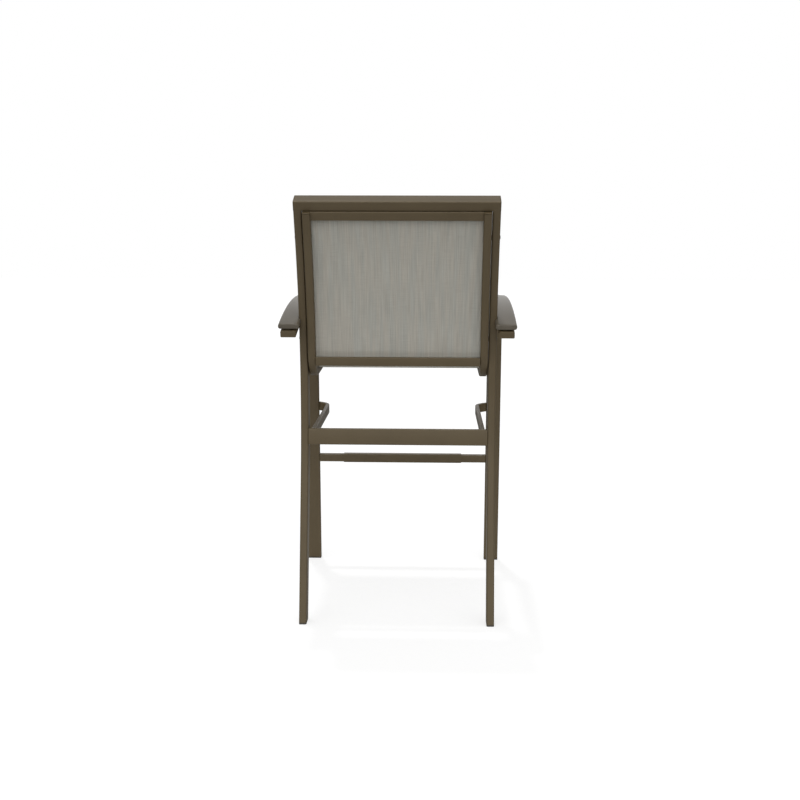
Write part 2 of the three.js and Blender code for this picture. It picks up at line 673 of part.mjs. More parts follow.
// A thin sheet along part of the cloth line; its middle sags from its start to `sagEnd`
function cloth(path, walked, start, end, sagEnd, sag) {
  const halfWidth = RAIL_INNER + GROOVE_DEPTH - ROD_RADIUS - CLOTH_EDGE_GAP;
  const stops = walked.filter((stop) => stop > start + CLOTH_THICKNESS && stop < end - CLOTH_THICKNESS);
  for (let i = 1; i < LONG_ARC_STEPS; i++) {
    const stop = THREE.MathUtils.lerp(start, sagEnd, i / LONG_ARC_STEPS);
    if (stops.every((other) => Math.abs(other - stop) > CLOTH_THICKNESS)) {
      stops.push(stop);
    }
  }
  const ring = (stop, face) => {
    const place = alongPath(path, stop);
    const share = Math.min((stop - start) / (sagEnd - start), 1);
    const low = sag * Math.sin(Math.PI * share) ** 2;
    const points = [];
    for (let column = 0; column <= CLOTH_COLUMNS; column++) {
      const x = halfWidth * ((2 * column) / CLOTH_COLUMNS - 1);
      const free = Math.max(0, 1 - (x / RAIL_INNER) ** 2);
      const out = low * free + (face * CLOTH_THICKNESS) / 2;
      points.push(new THREE.Vector3(
        x,
        place.point.y - out * Math.cos(place.heading),
        place.point.z + out * Math.sin(place.heading),
      ));
    }
    return points;
  };
  const order = [start, ...stops.sort((a, b) => a - b), end];
  return loft(order.map((stop) => [...ring(stop, -1), ...ring(stop, 1).reverse()]));
}

// Skins a list of closed rings, all with as many points, and closes both ends
function loft(rings) {
  const count = rings[0].length;
  const positions = rings.flat().flatMap((point) => [point.x, point.y, point.z]);
  const faces = [];
  for (let i = 0; i + 1 < rings.length; i++) {
    for (let k = 0; k < count; k++) {
      const a = i * count + k;
      const b = i * count + ((k + 1) % count);
      faces.push(a, b, b + count, a, b + count, a + count);
    }
  }
  const strip = (base, turn) => {
    for (let low = 0, high = count - 1; low + 1 < high; low++, high--) {
      const quad = [low, low + 1, high - 1, high].map((k) => base + k);
      const corners = turn ? [quad[0], quad[3], quad[2], quad[1]] : quad;
      faces.push(corners[0], corners[1], corners[2]);
      if (low + 1 < high - 1) {
        faces.push(corners[0], corners[2], corners[3]);
      }
    }
  };
  strip(0, true);
  strip((rings.length - 1) * count, false);
  const geometry = new THREE.BufferGeometry();
  geometry.setAttribute('position', new THREE.Float32BufferAttribute(positions, 3));
  geometry.setIndex(faces);
  if (solidVolume(geometry) < 0) {
    geometry.setIndex(faces.flatMap((_, i) => (i % 3 ? [] : [faces[i], faces[i + 2], faces[i + 1]])));
  }
  const faceted = geometry.toNonIndexed();
  faceted.computeVertexNormals();
  return faceted;
}

function solidVolume(geometry) {
  const position = geometry.attributes.position;
  const corner = (i) => new THREE.Vector3().fromBufferAttribute(position, geometry.index.getX(i));
  let volume = 0;
  for (let i = 0; i < geometry.index.count; i += 3) {
    volume += corner(i).dot(corner(i + 1).cross(corner(i + 2)));
  }
  return volume;
}

// Arms, their supports and the front legs

// A station on an arc round the arms' centre, above the place `setback` in front of the rear foot
function armStation(setback, radius) {
  const lean = (ARM_CENTRE.y + setback) / radius;
  const angle = Math.asin(lean);
  return {
    point: new THREE.Vector3(0, ARM_CENTRE.y - radius * lean, ARM_CENTRE.z + radius * Math.cos(angle)),
    tangent: new THREE.Vector3(0, -Math.cos(angle), -Math.sin(angle)),
  };
}

function armArc(from, to, radius, steps) {
  return Array.from({ length: steps + 1 }, (_, i) => armStation(from + ((to - from) * i) / steps, radius));
}

function supportUnderside(y) {
  return ARM_CENTRE.z + Math.sqrt(SUPPORT_BOTTOM_RADIUS ** 2 - (y - ARM_CENTRE.y) ** 2);
}

function supportBoltHole(sign) {
  const place = supportBoltPlace();
  const from = new THREE.Vector3(sign * (SUPPORT_OUTER + OVERRUN), place.y, place.z);
  const to = new THREE.Vector3(sign * (POST_OUTER - TUBE_WALL - BOLT_PAST_WALL - GAP), place.y, place.z);
  return roundBar(from, to, BOLT_RADIUS + GAP);
}

// Where the middle line of the support crosses the middle line of the post
function supportBoltPlace() {
  const radius = SUPPORT_BOTTOM_RADIUS + SUPPORT_THICKNESS / 2;
  let place = postAt(ARM_TOP_HEIGHT, POST_DEPTH / 2);
  for (let i = 0; i < BEND_STEPS; i++) {
    const height = ARM_CENTRE.z + Math.sqrt(radius ** 2 - (place.y - ARM_CENTRE.y) ** 2);
    place = postAt(height - (POST_DEPTH / 2) * Math.sin(place.lean), POST_DEPTH / 2);
  }
  return place;
}

function padSetback(end) {
  return ARM_REAR + (ARM_FRONT - ARM_REAR) * armPadShares[end];
}

// Under the support, where the screw's head bears
function armScrewSeat(setback) {
  return armStation(setback, SUPPORT_BOTTOM_RADIUS - GAP);
}

function outwardOf(place) {
  return new THREE.Vector3(0, place.point.y - ARM_CENTRE.y, place.point.z - ARM_CENTRE.z).normalize();
}

function armScrewLength() {
  return GAP + SUPPORT_THICKNESS + PAD_THICKNESS + SCREW_INTO_ARM;
}

function armScrewHole(sign, setback) {
  const seat = armScrewSeat(setback);
  const out = outwardOf(seat);
  const from = seat.point.clone().addScaledVector(out, -OVERRUN).setX(sign * SUPPORT_MIDDLE);
  const length = OVERRUN + armScrewLength() + GAP;
  return roundBar(from, from.clone().addScaledVector(out, length), SCREW_RADIUS + GAP);
}

function addSupports() {
  const rear = ARM_REAR + ARM_TAIL_LENGTH / 2;
  const front = FRONT_LEG_DEPTH / 2 - frontLegAt(SUPPORT_UNDERSIDE) + SUPPORT_FRONT_OVERLAP;
  const radius = SUPPORT_BOTTOM_RADIUS + SUPPORT_THICKNESS / 2;
  const path = armArc(rear, front, radius, ARM_STEPS - EDGE_STEPS);
  const section = tubeSection(SUPPORT_WIDTH, SUPPORT_THICKNESS, SQUARE_CORNER);
  const tube = sweep(section, path);
  const end = path[0];
  const at = (length) => ({
    point: end.point.clone().addScaledVector(end.tangent, length),
    tangent: end.tangent,
  });
  const face = roundedRectangle(THREE.Shape, SUPPORT_WIDTH, SUPPORT_THICKNESS, SQUARE_CORNER);
  const innerX = SUPPORT_WIDTH / 2 - TUBE_WALL - GAP;
  const innerY = SUPPORT_THICKNESS / 2 - TUBE_WALL - GAP;
  const plate = sweep(face, [at(-PLUG_FACE - GAP), at(-GAP)]);
  const core = rectangle(THREE.Shape, -innerX, -innerY, innerX, innerY);
  const tongue = sweep(core, [at(-GAP * 2), at(PLUG_REACH)]);
  for (const { name, sign } of sides) {
    const holes = armEnds.map((end) => armScrewHole(sign, padSetback(end)));
    holes.push(supportBoltHole(sign));
    add(`arm_support_${name}`, cut(tube.clone().translate(sign * SUPPORT_MIDDLE, 0, 0), ...holes));
    add(`support_plug_${name}`, joined(plate, tongue).translate(sign * SUPPORT_MIDDLE, 0, 0));
  }
}

function addFrontLegs() {
  const path = [station(FOOT_Y, 0, FRONT_LEG_LEAN)];
  goStraight(path, SUPPORT_UNDERSIDE / Math.cos(FRONT_LEG_LEAN));
  const leg = sweep(tubeSection(FRONT_LEG_WIDTH, FRONT_LEG_DEPTH, SQUARE_CORNER), path);
  endAtHeight(leg, path[0], () => GLIDE_HEIGHT);
  endAtHeight(leg, path[1], (y) => supportUnderside(y) - GAP);
  for (const { name, sign } of sides) {
    add(`front_leg_${name}`, leg.clone().translate(sign * LEG_MIDDLE, 0, 0));
  }
}

// Cross-section of the arm: a slab with round edges, as a ring round its middle
function armRing(setback, inner, outer, thickness) {
  const place = armStation(setback, ARM_RADIUS);
  const out = outwardOf(place);
  const half = thickness / 2;
  const middle = ARM_THICKNESS / 2;
  const round = Math.min(half, (outer - inner) / 2);
  const points = [];
  const put = (x, height) => points.push(place.point.clone().addScaledVector(out, middle + height).setX(x));
  for (let step = 0; step <= EDGE_STEPS; step++) {
    const angle = -Math.PI / 2 + (Math.PI * step) / EDGE_STEPS;
    put(outer - round + round * Math.cos(angle), half * Math.sin(angle));
  }
  put((inner + outer) / 2, half + (ARM_CROWN * thickness) / ARM_THICKNESS);
  for (let step = 0; step <= EDGE_STEPS; step++) {
    const angle = Math.PI / 2 + (Math.PI * step) / EDGE_STEPS;
    put(inner + round + round * Math.cos(angle), half * Math.sin(angle));
  }
  put((inner + outer) / 2, -half);
  return points;
}

function addArms() {
  const middle = (ARM_INNER + ARM_OUTER) / 2;
  const halfWidth = (ARM_OUTER - ARM_INNER) / 2;
  const tail = ARM_REAR + ARM_TAIL_LENGTH;
  const nose = ARM_FRONT - ARM_NOSE_LENGTH;
  const rings = [];
  const putRing = (setback, share) => {
    const half = halfWidth * share;
    const thickness = ARM_THICKNESS * Math.min(1, share + armEndThicknessShare);
    rings.push(armRing(setback, middle - half, middle + half, thickness));
  };
  for (const [along, share] of [...armTailShares].reverse()) {
    putRing(tail - ARM_TAIL_LENGTH * along, share);
  }
  for (let i = 1; i < ARM_STEPS; i++) {
    putRing(tail + ((nose - tail) * i) / ARM_STEPS, 1);
  }
  for (const [along, share] of [...armNoseShares].reverse()) {
    putRing(nose + ARM_NOSE_LENGTH * along, share);
  }
  const arm = loft(rings);
  for (const { name, sign } of sides) {
    const body = sign > 0 ? arm.clone() : mirrored(arm);
    const holes = armEnds.map((end) => armScrewHole(sign, padSetback(end)));
    add(`arm_${name}`, cut(body, ...holes, postNotch(sign)), POLYMER);
  }
}

// The post passes the arm's inner edge in a notch
function postNotch(sign) {
  const section = roundedRectangle(
    THREE.Shape,
    POST_WIDTH + 2 * NOTCH_CLEARANCE,
    POST_DEPTH + 2 * NOTCH_CLEARANCE,
    POST_CORNER,
  );
  const path = postFacePath(POST_DEPTH / 2);
  return sweep(section, path).translate(sign * (POST_OUTER - POST_WIDTH / 2), 0, 0);
}

function addArmPads() {
  const halfThick = PAD_THICKNESS / 2 - GAP;
  const section = rectangle(THREE.Shape, -PAD_WIDTH / 2, -halfThick, PAD_WIDTH / 2, halfThick);
  const radius = SUPPORT_TOP_RADIUS + PAD_THICKNESS / 2;
  for (const end of armEnds) {
    const setback = padSetback(end);
    const path = armArc(setback - PAD_LENGTH / 2, setback + PAD_LENGTH / 2, radius, 2);
    for (const { name, sign } of sides) {
      const pad = sweep(section, path).translate(sign * SUPPORT_MIDDLE, 0, 0);
      add(`arm_pad_${end}_${name}`, cut(pad, armScrewHole(sign, setback)), RUBBER);
    }
  }
}

// Bars between the legs

function addStretcher() {
  const place = postAt(STRETCHER_MID_HEIGHT, STRETCHER_DEPTH / 2);
  const section = tubeSection(STRETCHER_HEIGHT, STRETCHER_DEPTH, SQUARE_CORNER);
  add('rear_stretcher', barAcross(section, 2 * (POST_INNER - GAP), place.y, place.z, -place.lean));
}

// Plan outline of a side bar: forwards from the stretcher, then round a bend to the leg's inner face
function addSideBars() {
  const inner = POST_INNER - SIDE_BAR_INSET;
  const outer = inner + SIDE_BAR_THICKNESS;
  const lean = postAt(SIDE_BAR_MID_HEIGHT).lean;
  const slope = Math.abs(Math.tan(lean)) * SIDE_BAR_HEIGHT / 2;
  const rear = postAt(SIDE_BAR_MID_HEIGHT, STRETCHER_DEPTH).y - GAP - slope;
  const bendX = outer + SIDE_BAR_BEND;
  const meets = (radius) => Math.PI + Math.acos((bendX - LEG_INNER + GAP) / radius);
  const middleRadius = SIDE_BAR_BEND + SIDE_BAR_THICKNESS / 2;
  const bendY = frontLegAt(SIDE_BAR_MID_HEIGHT) - middleRadius * Math.sin(meets(middleRadius));
  const wide = SIDE_BAR_BEND + SIDE_BAR_THICKNESS;
  const plan = new THREE.Shape();
  plan.moveTo(inner, rear);
  plan.absarc(bendX, bendY, wide, Math.PI, meets(wide));
  plan.absarc(bendX, bendY, SIDE_BAR_BEND, meets(SIDE_BAR_BEND), Math.PI, true);
  plan.lineTo(outer, rear);
  plan.closePath();
  const bar = new THREE.ExtrudeGeometry(plan, {
    depth: SIDE_BAR_HEIGHT,
    bevelEnabled: false,
    curveSegments: EDGE_STEPS + 1,
  });
  bar.translate(0, 0, SIDE_BAR_MID_HEIGHT - SIDE_BAR_HEIGHT / 2);
  add('side_bar_left', bar);
  add('side_bar_right', mirrored(bar));
}

function addFootrest() {
  const length = 2 * (LEG_INNER - GAP);
  const section = tubeSection(FOOTREST_SIZE, FOOTREST_SIZE, SQUARE_CORNER);
  const y = frontLegAt(FOOTREST_HEIGHT);
  add('footrest_bar', barAcross(section, length, y, FOOTREST_HEIGHT));
  const outside = FOOTREST_SIZE + 2 * (GAP + SLEEVE_WALL);
  const sleeve = roundedRectangle(THREE.Shape, outside, outside, SQUARE_CORNER + SLEEVE_WALL);
  const inside = FOOTREST_SIZE + 2 * GAP;
  sleeve.holes.push(roundedRectangle(THREE.Path, inside, inside, SQUARE_CORNER));
  add('footrest_sleeve', barAcross(sleeve, SLEEVE_LENGTH, y, FOOTREST_HEIGHT));
}

function addCrossbar() {
  const length = 2 * (LEG_INNER - GAP);
  const section = tubeSection(CROSSBAR_SIZE, CROSSBAR_SIZE, SQUARE_CORNER);
  const bar = barAcross(section, length, CROSSBAR_Y, crossbarHeight());
  add('seat_crossbar', cut(bar, seatBoltHole(1), seatBoltHole(-1)));
}

// A saddle fills the space between the crossbar and the underside of the sling rail
function addSaddles() {
  const half = SADDLE_LENGTH / 2;
  const bottom = crossbarHeight() + CROSSBAR_SIZE / 2 + GAP;
  const underside = [];
  for (let i = 0; i <= BEND_STEPS; i++) {
    const y = CROSSBAR_Y + half - (SADDLE_LENGTH * i) / BEND_STEPS;
    underside.push({ y, z: railUndersideAt(y) - GAP });
  }
  const profile = new THREE.Shape();
  profile.moveTo(underside[0].y, bottom);
  underside.forEach(({ y, z }) => profile.lineTo(y, z));
  profile.lineTo(underside.at(-1).y, bottom);
  profile.closePath();
  const block = new THREE.ExtrudeGeometry(profile, { depth: SADDLE_WIDTH, bevelEnabled: false });
  block.translate(0, 0, -SADDLE_WIDTH / 2);
  block.rotateX(Math.PI / 2);
  block.rotateZ(Math.PI / 2);
  for (const { name, sign } of sides) {
    const saddle = block.clone().translate(sign * RAIL_MIDDLE, 0, 0);
    add(`seat_saddle_${name}`, cut(saddle, seatBoltHole(sign)), RUBBER);
  }
}

// Height of the sling rail's underside at a place along the chair
function railUndersideAt(y) {
  const underside = clothPath().map(({ point, heading }) => ({
    y: point.y - RAIL_BEHIND * Math.cos(heading),
    z: point.z + RAIL_BEHIND * Math.sin(heading),
  }));
  const next = underside.findIndex((place) => place.y < y);
  const from = underside[next - 1];
  const to = underside[next];
  return THREE.MathUtils.mapLinear(y, from.y, to.y, from.z, to.z);
}

// Feet

function glide(width, depth, corner, lean) {
  const face = roundedRectangle(THREE.Shape, width, depth, corner);
  const innerWidth = width - 2 * (TUBE_WALL + GAP);
  const innerDepth = depth - 2 * (TUBE_WALL / Math.cos(lean) + GAP);
  const core = roundedRectangle(THREE.Shape, innerWidth, innerDepth, GAP);
  const upright = (section, height) => new THREE.ExtrudeGeometry(section, {
    depth: height,
    bevelEnabled: false,
    curveSegments: CORNER_STEPS,
  });
  const whole = joined(upright(face, GLIDE_HEIGHT - GAP), upright(core, GLIDE_HEIGHT + GLIDE_PLUG));
  const shear = new THREE.Matrix4().set(1, 0, 0, 0, 0, 1, -Math.tan(lean), 0, 0, 0, 1, 0, 0, 0, 0, 1);
  return whole.applyMatrix4(shear);
}

function addGlides() {
  const depth = POST_DEPTH / Math.cos(LEG_LEAN);
  const rear = glide(POST_WIDTH, depth, POST_CORNER, LEG_LEAN);
  const frontDepth = FRONT_LEG_DEPTH / Math.cos(FRONT_LEG_LEAN);
  const front = glide(FRONT_LEG_WIDTH, frontDepth, SQUARE_CORNER, -FRONT_LEG_LEAN);
  for (const { name, sign } of sides) {
    const rearX = sign * (POST_OUTER - POST_WIDTH / 2);
    add(`rear_glide_${name}`, rear.clone().translate(rearX, -depth / 2, 0), RUBBER);
    add(`front_glide_${name}`, front.clone().translate(sign * LEG_MIDDLE, FOOT_Y, 0), RUBBER);
  }
}

// Fasteners

function addRailBolts() {
  for (const { name, sign } of sides) {
    const inward = new THREE.Vector3(-sign, 0, 0);
    for (const [level, height] of Object.entries(RAIL_BOLT_HEIGHTS)) {
      const place = railBoltPlace(height);
      const seat = new THREE.Vector3(sign * (POST_OUTER + GAP), place.y, place.z);
      const length = GAP + POST_WIDTH + RAIL_SPACER + CAVITY_WALL + BOLT_PAST_WALL;
      const bolt = fastener(seat, inward, length, BOLT_RADIUS, BOLT_HEAD_RADIUS, BOLT_HEAD_HEIGHT);
      add(`rail_bolt_${level}_${name}`, bolt, STEEL);
      add(`rail_spacer_${level}_${name}`, washer(sign, POST_INNER, RAIL_OUTER, place), STEEL);
    }
  }
}

function addSupportBolts() {
  const place = supportBoltPlace();
  const length = GAP + SUPPORT_WIDTH + SUPPORT_SPACER + TUBE_WALL + BOLT_PAST_WALL;
  for (const { name, sign } of sides) {
    const inward = new THREE.Vector3(-sign, 0, 0);
    const seat = new THREE.Vector3(sign * (SUPPORT_OUTER + GAP), place.y, place.z);
    const bolt = fastener(seat, inward, length, BOLT_RADIUS, BOLT_HEAD_RADIUS, BOLT_HEAD_HEIGHT);
    add(`support_bolt_${name}`, bolt, STEEL);
    add(`support_spacer_${name}`, washer(sign, SUPPORT_INNER, POST_OUTER, place), STEEL);
  }
}

function addArmScrews() {
  for (const end of armEnds) {
    const head = armScrewSeat(padSetback(end));
    for (const { name, sign } of sides) {
      const seat = head.point.clone().setX(sign * SUPPORT_MIDDLE);
      const out = outwardOf(head);
      const screw = fastener(seat, out, armScrewLength(), SCREW_RADIUS, SCREW_HEAD_RADIUS, SCREW_HEAD_HEIGHT);
      add(`arm_screw_${end}_${name}`, screw, STEEL);
    }
  }
}

function addSeatBolts() {
  const seatZ = crossbarHeight() - CROSSBAR_SIZE / 2 - GAP;
  const length = seatBoltTip() - seatZ;
  const upward = new THREE.Vector3(0, 0, 1);
  for (const { name, sign } of sides) {
    const seat = new THREE.Vector3(sign * RAIL_MIDDLE, CROSSBAR_Y, seatZ);
    const bolt = fastener(seat, upward, length, BOLT_RADIUS, BOLT_HEAD_RADIUS, BOLT_HEAD_HEIGHT);
    add(`seat_bolt_${name}`, bolt, STEEL);
  }
}

// A washer between two faces, with a hole for a bolt
function washer(sign, high, low, place) {
  const from = new THREE.Vector3(sign * (high - GAP), place.y, place.z);
  const to = new THREE.Vector3(sign * (low + GAP), place.y, place.z);
  const above = from.clone().setX(sign * (high + GAP));
  const below = to.clone().setX(sign * (low - GAP));
  return cut(roundBar(from, to, WASHER_RADIUS), roundBar(above, below, BOLT_RADIUS + GAP));
}

addPosts();
addTopRail();
addSlingRails();
addRailCaps();
addSplines();
addSpreaders();
addCloths();
addSupports();
addFrontLegs();
addArms();
addArmPads();
addStretcher();
addSideBars();
addFootrest();
addCrossbar();
addSaddles();
addGlides();
addRailBolts();
addSupportBolts();
addArmScrews();
addSeatBolts();

// The origin is under the middle of the chair, on the floor
const extent = new THREE.Box3().setFromObject(model);
model.position.y = -(extent.min.y + extent.max.y) / 2;
model.updateMatrixWorld(true);

export default model;
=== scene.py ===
"""Bar-height sling patio chair: bent tube frame in bronze powder coat, two woven cloths, moulded arms.

Metres, +Z up, the sitter faces -Y and has their left hand at +X.
"""
import json
from math import acos, asin, ceil, cos, pi, radians, sin, sqrt, tan

import bmesh
import bpy
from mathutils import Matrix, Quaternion, Vector


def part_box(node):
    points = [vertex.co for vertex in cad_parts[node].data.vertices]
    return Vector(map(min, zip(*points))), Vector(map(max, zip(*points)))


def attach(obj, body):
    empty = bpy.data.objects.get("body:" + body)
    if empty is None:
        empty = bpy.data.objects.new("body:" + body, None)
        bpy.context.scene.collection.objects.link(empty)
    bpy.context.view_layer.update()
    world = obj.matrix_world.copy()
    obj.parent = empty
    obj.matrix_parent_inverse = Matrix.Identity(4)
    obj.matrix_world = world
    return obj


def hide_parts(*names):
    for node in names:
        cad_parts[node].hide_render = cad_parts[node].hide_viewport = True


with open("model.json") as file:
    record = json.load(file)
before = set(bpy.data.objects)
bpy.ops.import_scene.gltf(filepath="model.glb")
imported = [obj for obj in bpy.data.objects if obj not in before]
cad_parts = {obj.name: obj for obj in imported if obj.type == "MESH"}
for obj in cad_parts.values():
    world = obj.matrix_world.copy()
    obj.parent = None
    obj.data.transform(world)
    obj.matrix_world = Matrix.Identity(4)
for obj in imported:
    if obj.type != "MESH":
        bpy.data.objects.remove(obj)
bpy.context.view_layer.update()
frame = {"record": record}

# The rear feet's rear face: every front-to-rear place below is measured from it
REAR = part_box("rear_glide_left")[1].y
SEAM = 0.0003                  # left between two pieces that touch

# Rear posts
SPAN = 0.5715                  # over the outer faces
POST = (0.0222, 0.0508)        # width across the chair, depth front to rear
LEG_LEAN = radians(11.5)
BACK_RECLINE = radians(22)
LEG_HEIGHT = 0.42
POST_ARC = 1.2                 # radius of the rear face
POST_TOP = 0.0919
TUBE_CORNER = 0.004
SQUARE_CORNER = 0.003
POST_X = SPAN / 2 - POST[0] / 2
POST_INNER = SPAN / 2 - POST[0]

# Top rail
TOP_RAIL = (0.0286, 0.0508)
PLUG_FACE = 0.0025
PLUG_EDGE = 0.0009
WELD_HEIGHT = 0.008            # reaches past the rail's round corners
WELD_LOW = 0.0001              # below the rail's underside
WELD_SHORT = 0.0002            # of the rail's cut end
WELD_SUNK = 0.00002            # its faces lie this far inside the rail's, so the two join cleanly

# Sling rails and cloth
RAIL_WIDTH = 0.0222
RAIL_BEHIND = 0.023            # metal behind the cloth
RAIL_AHEAD = 0.0136            # metal in front of the cloth
RAIL_PROUD = 0.0125            # rail behind the posts' rear face
RAIL_GAP = 0.0023              # the spacers stand in it
RAIL_OUTER = POST_INNER - RAIL_GAP
RAIL_INNER = RAIL_OUTER - RAIL_WIDTH
RAIL_X = (RAIL_OUTER + RAIL_INNER) / 2
RAIL_DROP = 0.0041             # from the top rail down to the rail's cut end
SEAT_HEIGHT = 0.7365
SEAT_RISE = radians(1.5)
SEAT_BEND = 0.07
FRONT_CURVE = 0.04
FRONT_DROP = radians(42)
FRONT_STRAIGHT = 0.006
CURVE_BEHIND_LEG = 0.006
CAP_THICKNESS = 0.003
CAP_EDGE = 0.0014
SLOT = 0.003
SLOT_DEPTH = 0.0065
CLOTH_THICKNESS = 0.0014
CLOTH_IN_SLOT = 0.0054
BACK_INTO_BEND = 0.033         # the back cloth ends here, past the start of the bend
SEAT_PAST_BEND = 0.01
HEM = 0.016
HEM_SWELL = 0.001              # what the turned edge adds
HEM_FOLD = 0.55                # share of that at the fold
HEM_ROUND = 0.0012
HEM_END = HEM + 0.0014         # from here on the cloth is one layer
SEAT_SAG = 0.006
BACK_SAG = 0.0012

# Spreaders
SPREADER = (0.0254, 0.011)
SPREADER_CORNER = 0.0022
SPREADER_BEHIND_CLOTH = 0.0105
SPREADER_ABOVE_SEAT = 0.0295
TOP_LIFT = 0.0004              # the top one sits close under the top rail
TOP_TUCK = 0.0062              # and its rear face close to the top rail's
SEAT_SPREADER_SETBACK = 0.092

# Front legs and what crosses between them
SUPPORT_GAP = 0.0028           # the supports' spacers stand in it
SUPPORT_INNER = SPAN / 2 + SUPPORT_GAP
SUPPORT_WIDTH = 0.04445
FRONT_LEG = (0.0476, 0.0222)
FRONT_LEG_LEAN = radians(2.7)
SUPPORT_X = SUPPORT_INNER + SUPPORT_WIDTH / 2
LEG_INNER = SUPPORT_INNER + SUPPORT_WIDTH - FRONT_LEG[0]
LEG_X = LEG_INNER + FRONT_LEG[0] / 2
LEG_BASE = 0.652               # from the rear feet's rear faces to the front feet's
FOOT_Y = -LEG_BASE - FRONT_LEG[1] / 2
LEG_CUT = (0.0025, 0.0065)     # slope of the cut at the foot's inner corner, across and up
LEG_CUT_TOP = 0.007            # above the glide
LEG_TOP_NEAR = 0.88            # about where the leg meets the arm support
LEG_STOCK = (0.02, 0.06)       # drawn past the floor and past that height, sawn off
SQUARE_BAR = 0.0254
FOOTREST_HEIGHT = 0.3637
SLEEVE_WALL = 0.0017
SLEEVE_LENGTH = 0.404
SLEEVE_EDGE = 0.0005
SADDLE_HEIGHT = 0.015

# Stretcher and side bars
STRETCHER = (0.0476, 0.0222)
STRETCHER_HEIGHT = 0.5415
SIDE_BAR = (0.012, 0.029)
SIDE_BAR_CORNER = 0.0016
SIDE_BAR_HEIGHT = 0.545
SIDE_BAR_INSET = 0.018
SIDE_BAR_X = POST_INNER - SIDE_BAR_INSET
SIDE_BAR_BEND = 0.063
SIDE_BAR_TURN = radians(72)    # bent past the leg's inner face, then sawn there

# Arms and supports lie on arcs round one centre
ARM_RADIUS = 1.59              # underside of the arm
ARM_THICKNESS = 0.015
ARM_TOP = 0.9335
ARM_PEAK = 0.449               # how far ahead of the rear feet the arch is highest
ARM_WIDTH = 0.0606
ARM_OVERHANG = 0.0066          # how far the arm stands out past its support
ARM_X = SUPPORT_INNER + SUPPORT_WIDTH + ARM_OVERHANG - ARM_WIDTH / 2
ARM_REAR = 0.036               # the arm's ends, measured the same way
ARM_FRONT = 0.696
ARM_CORNER = 0.0066
ARM_CROWN = 0.0015
ARM_TAIL = 0.011               # length of the eased tail
ARM_NOSE = 0.046               # length of the round nose
NOTCH_ROOM = 0.003             # notch wider than the post
PAD_THICKNESS = 0.0048
SUPPORT_THICKNESS = 0.01905
SUPPORT_SHORT = 0.0045         # of the arm's tail
SUPPORT_PAST_LEG = 0.002
SUPPORT_EDGE = 0.0006
SUPPORT_PLUG_EDGE = 0.0008
ARM_CENTRE = (-ARM_PEAK, ARM_TOP - ARM_RADIUS - ARM_THICKNESS)
SUPPORT_RADIUS = ARM_RADIUS - PAD_THICKNESS - SUPPORT_THICKNESS / 2

GLIDE_HEIGHT = 0.005
GLIDE_EDGE = 0.0012
FOOT_STOCK = 0.03              # length of post below the floor, sawn off

POST_CENTRE = (-LEG_HEIGHT * tan(LEG_LEAN) + POST_ARC * cos(LEG_LEAN), LEG_HEIGHT + POST_ARC * sin(LEG_LEAN))
BACK_TOP = POST_CENTRE[1] + POST_ARC * sin(BACK_RECLINE) + POST_TOP * cos(BACK_RECLINE)


def front_leg_y(height):
    """Middle of the front legs at a height."""
    return FOOT_Y + height * tan(FRONT_LEG_LEAN)


CROSSBAR_Y = front_leg_y(SEAT_HEIGHT - RAIL_BEHIND - SADDLE_HEIGHT - SQUARE_BAR / 2)


# Places in the side plane: (y, z, heading), heading from straight up, positive towards the rear

def walk(place, length):
    y, z, heading = place
    return y + length * sin(heading), z + length * cos(heading), heading


def bend_centre(place, radius, turn):
    y, z, heading = place
    side = 1 if turn > 0 else -1
    return y + side * radius * cos(heading), z - side * radius * sin(heading)


def walk_bend(place, radius, turn):
    side = 1 if turn > 0 else -1
    cy, cz = bend_centre(place, radius, turn)
    heading = place[2] + turn
    return cy - side * radius * cos(heading), cz + side * radius * sin(heading), heading


def ahead_of(place, distance):
    """The place moved square to its heading; on a rising path that is towards the front."""
    y, z, heading = place
    return y - distance * cos(heading), z + distance * sin(heading), heading


def post_face(height):
    """Rear face of the posts at a height."""
    arc_top = POST_CENTRE[1] + POST_ARC * sin(BACK_RECLINE)
    if height < LEG_HEIGHT:
        return -height * tan(LEG_LEAN), height, -LEG_LEAN
    lean = asin((min(height, arc_top) - POST_CENTRE[1]) / POST_ARC)
    y = POST_CENTRE[0] - POST_ARC * cos(lean) + max(0, height - arc_top) * tan(BACK_RECLINE)
    return y, height, lean


def cloth_route():
    """Start of the cloth line under the top rail, and its straights and bends down to the seat's front."""
    ahead = RAIL_BEHIND - RAIL_PROUD
    start = walk(ahead_of(post_face(BACK_TOP), ahead), -RAIL_DROP)
    start = (start[0], start[1], pi + BACK_RECLINE)
    arc = POST_ARC + ahead
    arc_top = POST_CENTRE[1] + arc * sin(BACK_RECLINE)
    bend_lean = asin((SEAT_HEIGHT + SEAT_BEND * cos(SEAT_RISE) - POST_CENTRE[1]) / (arc + SEAT_BEND))
    route = [
        ("straight", (start[1] - arc_top) / cos(BACK_RECLINE)),
        ("bend", arc, bend_lean - BACK_RECLINE, 16),
        ("bend", SEAT_BEND, pi / 2 - bend_lean + SEAT_RISE, 16),
    ]
    seat_start = follow(start, route)
    route.append(("straight", (seat_start[0] - CROSSBAR_Y - CURVE_BEHIND_LEG) / cos(SEAT_RISE)))
    route.append(("bend", FRONT_CURVE, -FRONT_DROP, 10))
    route.append(("straight", FRONT_STRAIGHT))
    return start, route


def follow(place, route):
    for step in route:
        place = walk(place, step[1]) if step[0] == "straight" else walk_bend(place, step[1], step[2])
    return place


def route_length(route):
    return sum(step[1] if step[0] == "straight" else step[1] * abs(step[2]) for step in route)


